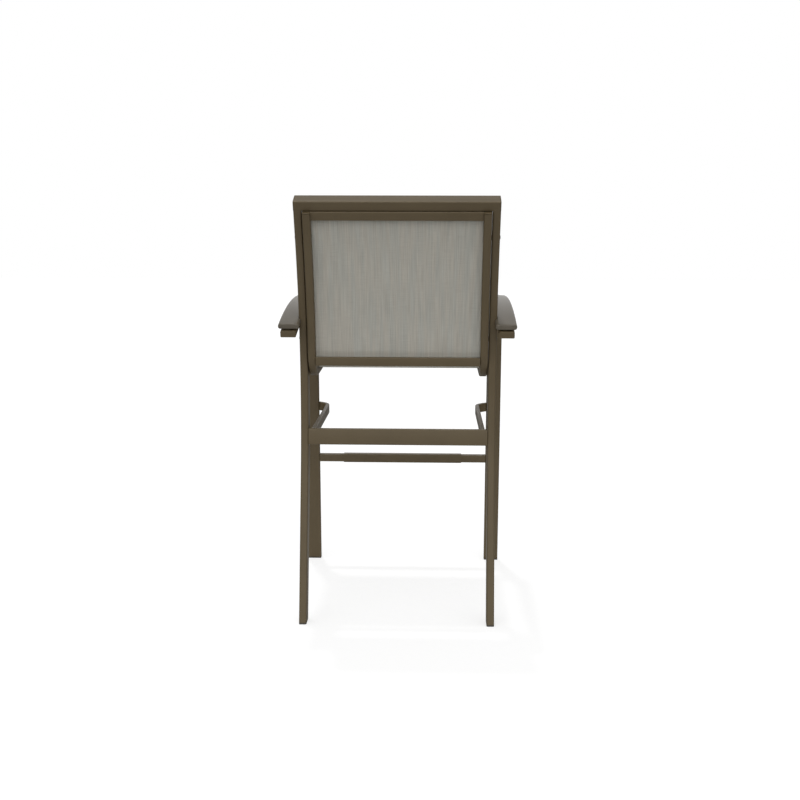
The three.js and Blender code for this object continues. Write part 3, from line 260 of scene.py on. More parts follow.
def place_along(place, route, length):
    for step in route:
        whole = step[1] if step[0] == "straight" else step[1] * abs(step[2])
        if length <= whole:
            if step[0] == "straight":
                return walk(place, length)
            return walk_bend(place, step[1], step[2] * length / whole) if length > 0 else place
        length -= whole
        place = follow(place, [step])
    return walk(place, length)


def arm_place(setback, radius):
    """Place on an arc round the arms' centre, heading towards the front."""
    angle = asin((ARM_CENTRE[0] + setback) / radius)
    return ARM_CENTRE[0] - radius * sin(angle), ARM_CENTRE[1] + radius * cos(angle), -pi / 2 - angle


def arm_turn(rear, front, radius):
    return arm_place(front, radius)[2] - arm_place(rear, radius)[2]


def support_underside(y):
    return ARM_CENTRE[1] + sqrt((SUPPORT_RADIUS - SUPPORT_THICKNESS / 2) ** 2 - (y - ARM_CENTRE[0]) ** 2)


# Bench work

def clear_bench():
    bpy.ops.object.select_all(action="DESELECT")


def pick(piece):
    clear_bench()
    bpy.context.view_layer.objects.active = piece
    piece.select_set(True)


def set_down(piece, turns=(), at=(0, 0, 0)):
    """Turns the piece about the origin, moves it, and puts all of that in its mesh."""
    pick(piece)
    for turn in turns:
        piece.rotation_euler = turn
        bpy.ops.object.transform_apply(location=False, rotation=True, scale=False)
    piece.location = at
    bpy.ops.object.transform_apply(location=True, rotation=False, scale=False)


def cut_blank(name, width, depth, corner, scores=(), steps=5):
    """A flat blank with round corners, width along X and depth along Y, scored across at some depths."""
    clear_bench()
    bpy.ops.mesh.primitive_plane_add(size=1)
    blank = bpy.context.active_object
    blank.name = blank.data.name = name
    blank.scale = (width, depth, 1)
    bpy.ops.object.transform_apply(location=False, rotation=False, scale=True)
    bpy.ops.object.mode_set(mode="EDIT")
    bpy.ops.mesh.select_all(action="SELECT")
    bpy.ops.mesh.bevel(offset=corner, segments=steps, affect="VERTICES")
    for score, along in scores:
        bpy.ops.mesh.select_all(action="SELECT")
        bpy.ops.mesh.bisect(plane_co=[score * part for part in along], plane_no=along)
    bpy.ops.object.mode_set(mode="OBJECT")
    return blank


def set_blank(blank, place, x=0.0):
    """Stands a blank square across the path at a place."""
    y, z, heading = place
    set_down(blank, [(-heading, 0, 0)], (x, y + REAR, z))


def draw_along(place, route):
    """Draws the selected end of the piece in edit mode along straights and bends."""
    for step in route:
        if step[0] == "straight":
            end = walk(place, step[1])
            move = (0, end[0] - place[0], end[1] - place[1])
            bpy.ops.mesh.extrude_region_move(TRANSFORM_OT_translate={"value": move})
        else:
            cy, cz = bend_centre(place, step[1], step[2])
            bpy.ops.mesh.spin(steps=step[3], angle=step[2], center=(0, cy + REAR, cz), axis=(1, 0, 0))
            end = walk_bend(place, step[1], step[2])
        place = end
    return place


def draw_bar(blank, place, route, x=0.0):
    """Sets a blank on its path and draws the whole bar."""
    set_blank(blank, place, x)
    pick(blank)
    bpy.ops.object.mode_set(mode="EDIT")
    bpy.ops.mesh.select_all(action="SELECT")
    draw_along(place, route)
    bpy.ops.object.mode_set(mode="OBJECT")
    return blank


def draw_across(name, height, depth, corner, length, place):
    """A bar across the chair, its section leaning with the place."""
    bar = cut_blank(name, height, depth, corner)
    y, z, heading = place
    set_down(bar, [(0, pi / 2, 0), (-heading, 0, 0)], (-length / 2, y + REAR, z))
    pick(bar)
    bpy.ops.object.mode_set(mode="EDIT")
    bpy.ops.mesh.select_all(action="SELECT")
    bpy.ops.mesh.extrude_region_move(TRANSFORM_OT_translate={"value": (length, 0, 0)})
    bpy.ops.object.mode_set(mode="OBJECT")
    return bar


def saw(piece, point, normal):
    """Cuts the piece on a plane and keeps the side that the normal points to."""
    pick(piece)
    bpy.ops.object.mode_set(mode="EDIT")
    bpy.ops.mesh.select_all(action="SELECT")
    bpy.ops.mesh.bisect(plane_co=point, plane_no=normal, use_fill=True, clear_inner=True)
    bpy.ops.object.mode_set(mode="OBJECT")


def choose_faces(piece, test):
    """In edit mode, selects only the faces that pass the test."""
    bpy.ops.mesh.select_all(action="DESELECT")
    bpy.ops.mesh.select_mode(type="FACE")
    mesh = bmesh.from_edit_mesh(piece.data)
    for face in mesh.faces:
        if test(face):
            face.select_set(True)
    mesh.select_flush_mode()
    bmesh.update_edit_mesh(piece.data)


def ease_edges(piece, width, segments=2, angle=50):
    """Rounds every sharp edge a little."""
    pick(piece)
    bevel = piece.modifiers.new("eased edges", "BEVEL")
    bevel.width = width
    bevel.segments = segments
    bevel.limit_method = "ANGLE"
    bevel.angle_limit = radians(angle)
    bpy.ops.object.modifier_apply(modifier=bevel.name)


def true_up(piece, smooth=35):
    """Merges doubles, points the faces outwards and smooths the shading."""
    pick(piece)
    bpy.ops.object.mode_set(mode="EDIT")
    bpy.ops.mesh.select_all(action="SELECT")
    bpy.ops.mesh.remove_doubles(threshold=0.000005)
    bpy.ops.mesh.normals_make_consistent(inside=False)
    bpy.ops.object.mode_set(mode="OBJECT")
    bpy.ops.object.shade_smooth_by_angle(angle=radians(smooth))


def copy_of(piece, name):
    twin = piece.copy()
    twin.data = piece.data.copy()
    twin.name = twin.data.name = name
    bpy.context.collection.objects.link(twin)
    return twin


def mirror_of(piece, name):
    """A copy for the other side of the chair."""
    twin = copy_of(piece, name)
    pick(twin)
    twin.scale = (-1, 1, 1)
    bpy.ops.object.transform_apply(location=False, rotation=False, scale=True)
    true_up(twin)
    return twin


def finish_piece(piece, material, slot, *nodes):
    """Gives a piece its finish, hangs it under the root and hides the CAD nodes it stands for."""
    piece.data.materials.clear()
    piece.data.materials.append(material)
    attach(piece, "root")
    if nodes:
        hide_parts(*nodes)


# Finishes: noise scales are counts to the metre

FLAKES = 2600.0
MOTTLES = 9.0
PEEL_BUMPS = 620.0
FLOW_MARKS = 5.0


def new_finish(name):
    material = bpy.data.materials.new(name)
    material.use_nodes = True
    tree = material.node_tree
    return material, tree, tree.nodes["Principled BSDF"]


def node(tree, kind, **settings):
    made = tree.nodes.new(kind)
    for key, value in settings.items():
        if key in made.inputs:
            made.inputs[key].default_value = value
        else:
            setattr(made, key, value)
    return made


def object_place(tree, scale=(1, 1, 1)):
    place = node(tree, "ShaderNodeTexCoord")
    mapping = node(tree, "ShaderNodeMapping")
    mapping.inputs["Scale"].default_value = scale
    tree.links.new(place.outputs["Object"], mapping.inputs["Vector"])
    return mapping.outputs["Vector"]


def tint_between(tree, amount, low, high, start=0.0, stop=1.0):
    ramp = node(tree, "ShaderNodeValToRGB")
    ramp.color_ramp.elements[0].position = start
    ramp.color_ramp.elements[0].color = (*low, 1)
    ramp.color_ramp.elements[1].position = stop
    ramp.color_ramp.elements[1].color = (*high, 1)
    tree.links.new(amount, ramp.inputs["Fac"])
    return ramp.outputs["Color"]


def powder_coat(name, low, high, roughness=0.5, metallic=0.15, peel=0.00006):
    """Baked powder: fine flake in the colour, faint mottling, and an orange-peel surface."""
    material, tree, surface = new_finish(name)
    place = object_place(tree)
    flake = node(tree, "ShaderNodeTexNoise", Scale=FLAKES, Detail=1.0)
    cloud = node(tree, "ShaderNodeTexNoise", Scale=MOTTLES, Detail=3.0)
    blend = node(tree, "ShaderNodeMath", operation="ADD")
    soften = node(tree, "ShaderNodeMath", operation="MULTIPLY")
    soften.inputs[1].default_value = 0.5
    for noise in (flake, cloud):
        tree.links.new(place, noise.inputs["Vector"])
    tree.links.new(flake.outputs["Fac"], blend.inputs[0])
    tree.links.new(cloud.outputs["Fac"], blend.inputs[1])
    tree.links.new(blend.outputs[0], soften.inputs[0])
    tree.links.new(tint_between(tree, soften.outputs[0], low, high, 0.35, 0.65), surface.inputs["Base Color"])
    sheen = node(tree, "ShaderNodeMapRange")
    sheen.inputs["To Min"].default_value = roughness - 0.05
    sheen.inputs["To Max"].default_value = roughness + 0.06
    tree.links.new(cloud.outputs["Fac"], sheen.inputs["Value"])
    tree.links.new(sheen.outputs["Result"], surface.inputs["Roughness"])
    peel_noise = node(tree, "ShaderNodeTexNoise", Scale=PEEL_BUMPS, Detail=2.0)
    tree.links.new(place, peel_noise.inputs["Vector"])
    bump = node(tree, "ShaderNodeBump", Strength=0.35, Distance=peel)
    tree.links.new(peel_noise.outputs["Fac"], bump.inputs["Height"])
    tree.links.new(bump.outputs["Normal"], surface.inputs["Normal"])
    surface.inputs["Metallic"].default_value = metallic
    return material


def moulded(name, low, high, roughness, grain=900.0, depth=0.00004):
    """Moulded polymer: an even colour with faint flow marks and a fine spark grain."""
    material, tree, surface = new_finish(name)
    flow = node(tree, "ShaderNodeTexNoise", Scale=FLOW_MARKS, Detail=4.0)
    tree.links.new(object_place(tree, (3, 0.7, 3)), flow.inputs["Vector"])
    tree.links.new(tint_between(tree, flow.outputs["Fac"], low, high, 0.3, 0.7), surface.inputs["Base Color"])
    spark = node(tree, "ShaderNodeTexNoise", Scale=grain, Detail=3.0)
    tree.links.new(object_place(tree), spark.inputs["Vector"])
    gloss = node(tree, "ShaderNodeMapRange")
    gloss.inputs["To Min"].default_value = roughness - 0.04
    gloss.inputs["To Max"].default_value = roughness + 0.05
    tree.links.new(spark.outputs["Fac"], gloss.inputs["Value"])
    tree.links.new(gloss.outputs["Result"], surface.inputs["Roughness"])
    bump = node(tree, "ShaderNodeBump", Strength=0.3, Distance=depth)
    tree.links.new(spark.outputs["Fac"], bump.inputs["Height"])
    tree.links.new(bump.outputs["Normal"], surface.inputs["Normal"])
    return material


def wave(tree, value, pitch):
    """A sine of a length in metres, one turn for each pitch."""
    turn = node(tree, "ShaderNodeMath", operation="MULTIPLY")
    turn.inputs[1].default_value = 2 * pi / pitch
    tree.links.new(value, turn.inputs[0])
    sine = node(tree, "ShaderNodeMath", operation="SINE")
    tree.links.new(turn.outputs[0], sine.inputs[0])
    return sine.outputs[0]


def woven_cloth(name):
    """Coated yarns in a plain weave, read from the cloth's own flat map in metres."""
    material, tree, surface = new_finish(name)
    flat = node(tree, "ShaderNodeUVMap", uv_map="flat")
    parts = node(tree, "ShaderNodeSeparateXYZ")
    tree.links.new(flat.outputs["UV"], parts.inputs[0])
    across, along = parts.outputs["X"], parts.outputs["Y"]

    def yarns(scale, detail):
        """Noise with so many marks to the metre across and along the cloth."""
        mapping = node(tree, "ShaderNodeMapping")
        mapping.inputs["Scale"].default_value = scale
        tree.links.new(flat.outputs["UV"], mapping.inputs["Vector"])
        noise = node(tree, "ShaderNodeTexNoise", Scale=1.0, Detail=detail, Roughness=0.55)
        tree.links.new(mapping.outputs["Vector"], noise.inputs["Vector"])
        return noise.outputs["Fac"]

    def mixed(first, second, share):
        mix = node(tree, "ShaderNodeMix", data_type="RGBA")
        mix.inputs[0].default_value = share
        tree.links.new(first, mix.inputs[6])
        tree.links.new(second, mix.inputs[7])
        return mix.outputs[2]

    streak = tint_between(tree, yarns((330, 9, 1), 3.0), CLOTH_DARK, CLOTH_LIGHT, 0.32, 0.68)
    warmth = tint_between(tree, yarns((60, 4, 1), 2.0), CLOTH_COOL, CLOTH_WARM, 0.4, 0.6)
    weft = tint_between(tree, yarns((25, 900, 1), 1.0), CLOTH_DARK, CLOTH_LIGHT, 0.3, 0.7)
    colour = mixed(mixed(streak, warmth, 0.45), weft, 0.2)
    tree.links.new(colour, surface.inputs["Base Color"])

    cross = node(tree, "ShaderNodeMath", operation="MULTIPLY")
    tree.links.new(wave(tree, across, YARN_PITCH * 2), cross.inputs[0])
    tree.links.new(wave(tree, along, YARN_PITCH * 2), cross.inputs[1])
    bump = node(tree, "ShaderNodeBump", Strength=0.6, Distance=0.00025)
    tree.links.new(cross.outputs[0], bump.inputs["Height"])
    tree.links.new(bump.outputs["Normal"], surface.inputs["Normal"])
    surface.inputs["Roughness"].default_value = 0.72
    surface.inputs["Specular IOR Level"].default_value = 0.2
    surface.inputs["Sheen Weight"].default_value = 0.1

    through = node(tree, "ShaderNodeBsdfTranslucent")
    tree.links.new(colour, through.inputs["Color"])
    mesh = node(tree, "ShaderNodeMixShader")
    mesh.inputs[0].default_value = 0.5
    tree.links.new(surface.outputs[0], mesh.inputs[1])
    tree.links.new(through.outputs[0], mesh.inputs[2])
    tree.links.new(mesh.outputs[0], tree.nodes["Material Output"].inputs["Surface"])
    return material


CLOTH_DARK = (0.505, 0.49, 0.445)
CLOTH_LIGHT = (0.77, 0.758, 0.705)
CLOTH_COOL = (0.6, 0.612, 0.57)
CLOTH_WARM = (0.68, 0.64, 0.565)
YARN_PITCH = 0.0011

bronze = powder_coat("bronze powder coat", (0.102, 0.0745, 0.0365), (0.122, 0.0905, 0.0465))
bolt_black = powder_coat("coated bolt", (0.05, 0.043, 0.033), (0.07, 0.06, 0.046), 0.42, 0.5, 0.00002)
arm_polymer = moulded("bronze arm polymer", (0.108, 0.0915, 0.066), (0.123, 0.105, 0.078), 0.42)
glide_nylon = moulded("dark bronze nylon", (0.045, 0.038, 0.027), (0.06, 0.051, 0.038), 0.5)
black_rubber = moulded("black rubber", (0.018, 0.017, 0.016), (0.026, 0.025, 0.023), 0.75, 500.0)
sling_weave = woven_cloth("sling weave")


# Frame

def make_posts():
    foot = ahead_of((0, 0, -LEG_LEAN), POST[1] / 2)
    start = walk(foot, -FOOT_STOCK)
    route = [
        ("straight", LEG_HEIGHT / cos(LEG_LEAN) + FOOT_STOCK),
        ("bend", POST_ARC + POST[1] / 2, LEG_LEAN + BACK_RECLINE, 30),
        ("straight", POST_TOP - SEAM),
    ]
    post = draw_bar(cut_blank("bent_post_left", *POST, TUBE_CORNER), start, route, POST_X)
    saw(post, (0, 0, GLIDE_HEIGHT), (0, 0, 1))
    true_up(post)
    finish_piece(post, bronze, "frame", "rear_post_left")
    finish_piece(mirror_of(post, "bent_post_right"), bronze, "frame", "rear_post_right")


def make_top_rail():
    """The crest rail; over each post its lower corners are filled and ground flush, as a weld is."""
    seat = ahead_of(post_face(BACK_TOP), POST[1] / 2)
    middle = walk(seat, TOP_RAIL[0] / 2)
    length = SPAN - 2 * PLUG_FACE
    rail = draw_across("crest_rail", *TOP_RAIL, TUBE_CORNER, length, middle)
    true_up(rail)
    for side in (-1, 1):
        weld = cut_blank("ground_weld", POST[0], POST[1] - 2 * WELD_SUNK, TUBE_CORNER)
        draw_bar(weld, walk(seat, -WELD_LOW), [("straight", WELD_HEIGHT)], side * POST_X)
        saw(weld, (side * (length / 2 - WELD_SHORT), 0, 0), (-side, 0, 0))
        true_up(weld)
        pick(rail)
        filling = rail.modifiers.new("ground weld", "BOOLEAN")
        filling.object = weld
        filling.operation = "UNION"
        filling.solver = "EXACT"
        bpy.ops.object.modifier_apply(modifier=filling.name)
        bpy.data.objects.remove(weld)
    true_up(rail)
    finish_piece(rail, bronze, "frame", "top_rail")
    plug = draw_across("crest_plug_left", *TOP_RAIL, TUBE_CORNER, PLUG_FACE - SEAM, middle)
    set_down(plug, at=(SPAN / 2 - (PLUG_FACE - SEAM) / 2, 0, 0))
    ease_edges(plug, PLUG_EDGE, 3)
    true_up(plug)
    finish_piece(plug, bronze, "dark_polymer", "top_rail_plug_left")
    finish_piece(mirror_of(plug, "crest_plug_right"), bronze, "dark_polymer", "top_rail_plug_right")


def make_stretcher():
    place = ahead_of(post_face(STRETCHER_HEIGHT), STRETCHER[1] / 2)
    bar = draw_across("rear_cross_tube", *STRETCHER, SQUARE_CORNER, 2 * (POST_INNER - SEAM), place)
    true_up(bar)
    finish_piece(bar, bronze, "frame", "rear_stretcher")


def make_side_bars():
    """Flat bar: forward from the stretcher, then round a bend to the front leg's inner face."""
    thickness, height = SIDE_BAR
    lean = post_face(SIDE_BAR_HEIGHT)[2]
    rear = ahead_of(post_face(SIDE_BAR_HEIGHT), STRETCHER[1])[0] - SEAM - abs(tan(lean)) * height / 2
    bend_x = SIDE_BAR_X + thickness + SIDE_BAR_BEND
    middle = SIDE_BAR_BEND + thickness / 2
    turned = acos((bend_x - LEG_INNER + SEAM) / middle)
    bend_y = front_leg_y(SIDE_BAR_HEIGHT) + middle * sin(turned)
    bar = cut_blank("stay_left", thickness, height, SIDE_BAR_CORNER, steps=4)
    set_down(bar, [(pi / 2, 0, 0)], (SIDE_BAR_X + thickness / 2, rear + REAR, SIDE_BAR_HEIGHT))
    pick(bar)
    bpy.ops.object.mode_set(mode="EDIT")
    bpy.ops.mesh.select_all(action="SELECT")
    bpy.ops.mesh.extrude_region_move(TRANSFORM_OT_translate={"value": (0, bend_y - rear, 0)})
    bpy.ops.mesh.spin(steps=22, angle=-SIDE_BAR_TURN, center=(bend_x, bend_y + REAR, 0), axis=(0, 0, 1))
    bpy.ops.object.mode_set(mode="OBJECT")
    saw(bar, (LEG_INNER - SEAM, 0, 0), (-1, 0, 0))
    true_up(bar)
    finish_piece(bar, bronze, "frame", "side_bar_left")
    finish_piece(mirror_of(bar, "stay_right"), bronze, "frame", "side_bar_right")


def make_front_legs():
    top = support_underside(front_leg_y(LEG_TOP_NEAR))
    top_y = front_leg_y(top)
    start = walk((FOOT_Y, 0, FRONT_LEG_LEAN), -LEG_STOCK[0])
    leg = cut_blank("front_post_left", *FRONT_LEG, SQUARE_CORNER)
    draw_bar(leg, start, [("straight", top + LEG_STOCK[1])], LEG_X)
    saw(leg, (0, 0, GLIDE_HEIGHT), (0, 0, 1))
    slope = (top_y - ARM_CENTRE[0]) / (top - ARM_CENTRE[1])
    saw(leg, (0, top_y + REAR, top - SEAM), (0, -slope, -1))
    saw(leg, (LEG_INNER, 0, GLIDE_HEIGHT + LEG_CUT_TOP), (LEG_CUT[1], 0, LEG_CUT[0]))
    true_up(leg)
    finish_piece(leg, bronze, "frame", "front_leg_left")
    finish_piece(mirror_of(leg, "front_post_right"), bronze, "frame", "front_leg_right")


def make_supports():
    rear = ARM_REAR + SUPPORT_SHORT
    underside = ARM_TOP - ARM_THICKNESS - PAD_THICKNESS - SUPPORT_THICKNESS
    front = FRONT_LEG[1] / 2 - front_leg_y(underside) + SUPPORT_PAST_LEG
    section = (SUPPORT_WIDTH, SUPPORT_THICKNESS, SQUARE_CORNER)
    start = arm_place(rear, SUPPORT_RADIUS)
    route = [("bend", SUPPORT_RADIUS, arm_turn(rear, front, SUPPORT_RADIUS), 28)]
    bar = draw_bar(cut_blank("arched_support_left", *section), start, route, SUPPORT_X)
    ease_edges(bar, SUPPORT_EDGE, 2, 70)
    true_up(bar)
    finish_piece(bar, bronze, "frame", "arm_support_left")
    finish_piece(mirror_of(bar, "arched_support_right"), bronze, "frame", "arm_support_right")
    plug_start = walk(start, -PLUG_FACE - SEAM)
    plug = draw_bar(cut_blank("support_end_left", *section), plug_start, [("straight", PLUG_FACE)], SUPPORT_X)
    ease_edges(plug, SUPPORT_PLUG_EDGE, 3)
    true_up(plug)
    finish_piece(plug, bronze, "dark_polymer", "support_plug_left")
    finish_piece(mirror_of(plug, "support_end_right"), bronze, "dark_polymer", "support_plug_right")


def make_footrest():
    place = (front_leg_y(FOOTREST_HEIGHT), FOOTREST_HEIGHT, 0)
    bar = draw_across("foot_bar", SQUARE_BAR, SQUARE_BAR, SQUARE_CORNER, 2 * (LEG_INNER - SEAM), place)
    true_up(bar)
    finish_piece(bar, bronze, "frame", "footrest_bar")
    outside = SQUARE_BAR + 2 * (SEAM + SLEEVE_WALL)
    sleeve = cut_blank("foot_sleeve", outside, outside, SQUARE_CORNER + SLEEVE_WALL)
    y, z, _ = place
    set_down(sleeve, [(0, pi / 2, 0)], (-SLEEVE_LENGTH / 2, y + REAR, z))
    pick(sleeve)
    bpy.ops.object.mode_set(mode="EDIT")
    bpy.ops.mesh.select_all(action="SELECT")
    bpy.ops.mesh.inset(thickness=SLEEVE_WALL, depth=0)
    bpy.ops.mesh.delete(type="FACE")
    bpy.ops.mesh.select_all(action="SELECT")
    bpy.ops.mesh.extrude_region_move(TRANSFORM_OT_translate={"value": (SLEEVE_LENGTH, 0, 0)})
    bpy.ops.object.mode_set(mode="OBJECT")
    ease_edges(sleeve, SLEEVE_EDGE, 2, 70)
    true_up(sleeve)
    finish_piece(sleeve, bronze, "frame", "footrest_sleeve")


def make_crossbar():
    low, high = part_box("seat_crossbar")
    place = ((low.y + high.y) / 2 - REAR, (low.z + high.z) / 2, 0)
    bar = draw_across("seat_cross_tube", SQUARE_BAR, SQUARE_BAR, SQUARE_CORNER, 2 * (LEG_INNER - SEAM), place)
    true_up(bar)
    finish_piece(bar, bronze, "frame", "seat_crossbar")


# Sling

def make_sling_rails():
    """The long J-shaped extrusions; a slot along the inner face takes the cloth's edge."""
    start, route = cloth_route()
    middle = (RAIL_BEHIND - RAIL_AHEAD) / 2
    # Facing down the path, the blank's own -Y is the rear side, so the cloth line lies at +middle
    scores = [(middle - SLOT / 2, (0, 1, 0)), (middle + SLOT / 2, (0, 1, 0))]
    blank = cut_blank("cloth_rail_left", RAIL_WIDTH, RAIL_BEHIND + RAIL_AHEAD, TUBE_CORNER, scores)
    set_down(blank, at=(0, -middle, 0))
    rail = draw_bar(blank, start, route, RAIL_X)
    pick(rail)
    bpy.ops.object.mode_set(mode="EDIT")
    lines = line_points(start, route)

    def in_slot(face):
        if face.normal.x > -0.9 or abs(face.calc_center_median().x - RAIL_INNER) > 0.0002:
            return False
        centre = face.calc_center_median()
        return min((centre.y - REAR - y) ** 2 + (centre.z - z) ** 2 for y, z in lines) < 0.001 ** 2

    choose_faces(rail, in_slot)
    bpy.ops.mesh.extrude_region_move(TRANSFORM_OT_translate={"value": (SLOT_DEPTH, 0, 0)})
    bpy.ops.object.mode_set(mode="OBJECT")
    true_up(rail)
    finish_piece(rail, bronze, "frame", "sling_rail_left")
    finish_piece(mirror_of(rail, "cloth_rail_right"), bronze, "frame", "sling_rail_right")


def line_points(start, route, step=0.001):
    count = ceil(route_length(route) / step)
    return [place_along(start, route, step * i)[:2] for i in range(count + 1)]


def make_rail_caps():
    start, route = cloth_route()
    end = follow(start, route)
    middle = (RAIL_BEHIND - RAIL_AHEAD) / 2
    places = {"top": walk(start, -SEAM - CAP_THICKNESS), "front": walk(end, SEAM)}
    for which, place in places.items():
        blank = cut_blank(f"rail_end_{which}_left", RAIL_WIDTH, RAIL_BEHIND + RAIL_AHEAD, TUBE_CORNER)
        set_down(blank, at=(0, -middle, 0))
        cap = draw_bar(blank, place, [("straight", CAP_THICKNESS)], RAIL_X)
        ease_edges(cap, CAP_EDGE, 4)
        true_up(cap)
        finish_piece(cap, bronze, "dark_polymer", f"rail_cap_{which}_left")
        twin = mirror_of(cap, f"rail_end_{which}_right")
        finish_piece(twin, bronze, "dark_polymer", f"rail_cap_{which}_right")


def make_spreaders():
    start, route = cloth_route()
    behind = SPREADER_BEHIND_CLOTH + SPREADER[1] / 2
    length = 2 * (RAIL_INNER - SEAM)
    rail_top = walk(start, -SEAM - CAP_THICKNESS)
    low = ahead_of(post_face(SEAT_HEIGHT + SPREADER_ABOVE_SEAT), RAIL_BEHIND - RAIL_PROUD - behind)
    seat = place_along(start, route, route_length(route) - SEAT_SPREADER_SETBACK)
    places = {
        "back_top_spreader": ahead_of(walk(rail_top, SPREADER[0] / 2 - TOP_LIFT), behind - TOP_TUCK),
        "back_bottom_spreader": low,
        "seat_spreader": ahead_of(seat, behind),
    }
    for name, place in places.items():
        bar_name = name.replace("spreader", "spreading_bar")
        bar = draw_across(bar_name, *SPREADER, SPREADER_CORNER, length, place)
        true_up(bar)
        finish_piece(bar, bronze, "frame", name)


def cloth_span(route, name):
    """Where a cloth starts and ends along the rails, where its sag ends, and how deep it is."""
    bend_start, bend_end = route_length(route[:2]), route_length(route[:3])
    if name == "back":
        end = bend_start + BACK_INTO_BEND
        return 0.0, end, end, BACK_SAG
    return bend_end + SEAT_PAST_BEND, route_length(route), route_length(route[:4]), SEAT_SAG


def make_cloth(name, rows, columns=72):
    """A cloth stretched from rail to rail.

    Only its middle gives, and its free edges are turned back as hems.
    """
    start, route = cloth_route()
    first, last, sag_end, depth = cloth_span(route, name)
    half = RAIL_INNER + CLOTH_IN_SLOT
    piece_name = f"stretched_{name}_cloth"
    mesh = bpy.data.meshes.new(piece_name)
    cloth = bpy.data.objects.new(piece_name, mesh)
    bpy.context.collection.objects.link(cloth)
    shape = bmesh.new()
    flat = shape.loops.layers.uv.new("flat")
    stops = [0, HEM_ROUND, 2 * HEM_ROUND, HEM - HEM_ROUND, HEM, HEM_END]
    stops = [first + stop for stop in stops] + [last - stop for stop in reversed(stops)]
    inner = [stops[5] + (stops[6] - stops[5]) * i / rows for i in range(1, rows)]
    stops = stops[:6] + inner + stops[6:]

    def thickness(along):
        in_edge = min(along - first, last - along)
        if in_edge > HEM_END - 0.0001:
            return CLOTH_THICKNESS
        # thinner at the fold and where the turned edge ends
        swell = HEM_FOLD if in_edge < HEM_ROUND / 2 or abs(in_edge - HEM) < HEM_ROUND / 6 else 1
        return CLOTH_THICKNESS + HEM_SWELL * swell

    sides = {}
    for face in (-1, 1):
        grid = []
        for along in stops:
            y, z, heading = place_along(start, route, along)
            sag = depth * sin(pi * min((along - first) / (sag_end - first), 1)) ** 2
            line = []
            for column in range(columns + 1):
                x = half * (2 * column / columns - 1)
                out = sag * max(0, 1 - (x / RAIL_INNER) ** 2) + face * thickness(along) / 2
                line.append(shape.verts.new((x, y - out * cos(heading) + REAR, z + out * sin(heading))))
            grid.append(line)
        sides[face] = grid

    def lay(faces, places):
        quad = shape.faces.new([sides[face][row][column] for face, (row, column) in zip(faces, places)])
        quad.smooth = True
        for loop, (row, column) in zip(quad.loops, places):
            x = half * (2 * column / columns - 1)
            loop[flat].uv = (x, stops[row])

    count = len(stops) - 1
    for row in range(count):
        for column in range(columns):
            places = ((row, column), (row, column + 1), (row + 1, column + 1), (row + 1, column))
            for face in (-1, 1):
                lay((face, face, face, face), places)
        for column in (0, columns):
            places = ((row, column), (row + 1, column), (row + 1, column), (row, column))
            lay((-1, -1, 1, 1), places)
    for row in (0, count):
        for column in range(columns):
            places = ((row, column), (row, column + 1), (row, column + 1), (row, column))
            lay((-1, -1, 1, 1), places)
    shape.to_mesh(mesh)
    shape.free()
    true_up(cloth, 60)
    finish_piece(cloth, sling_weave, "cloth", f"sling_{name}")


# Arms

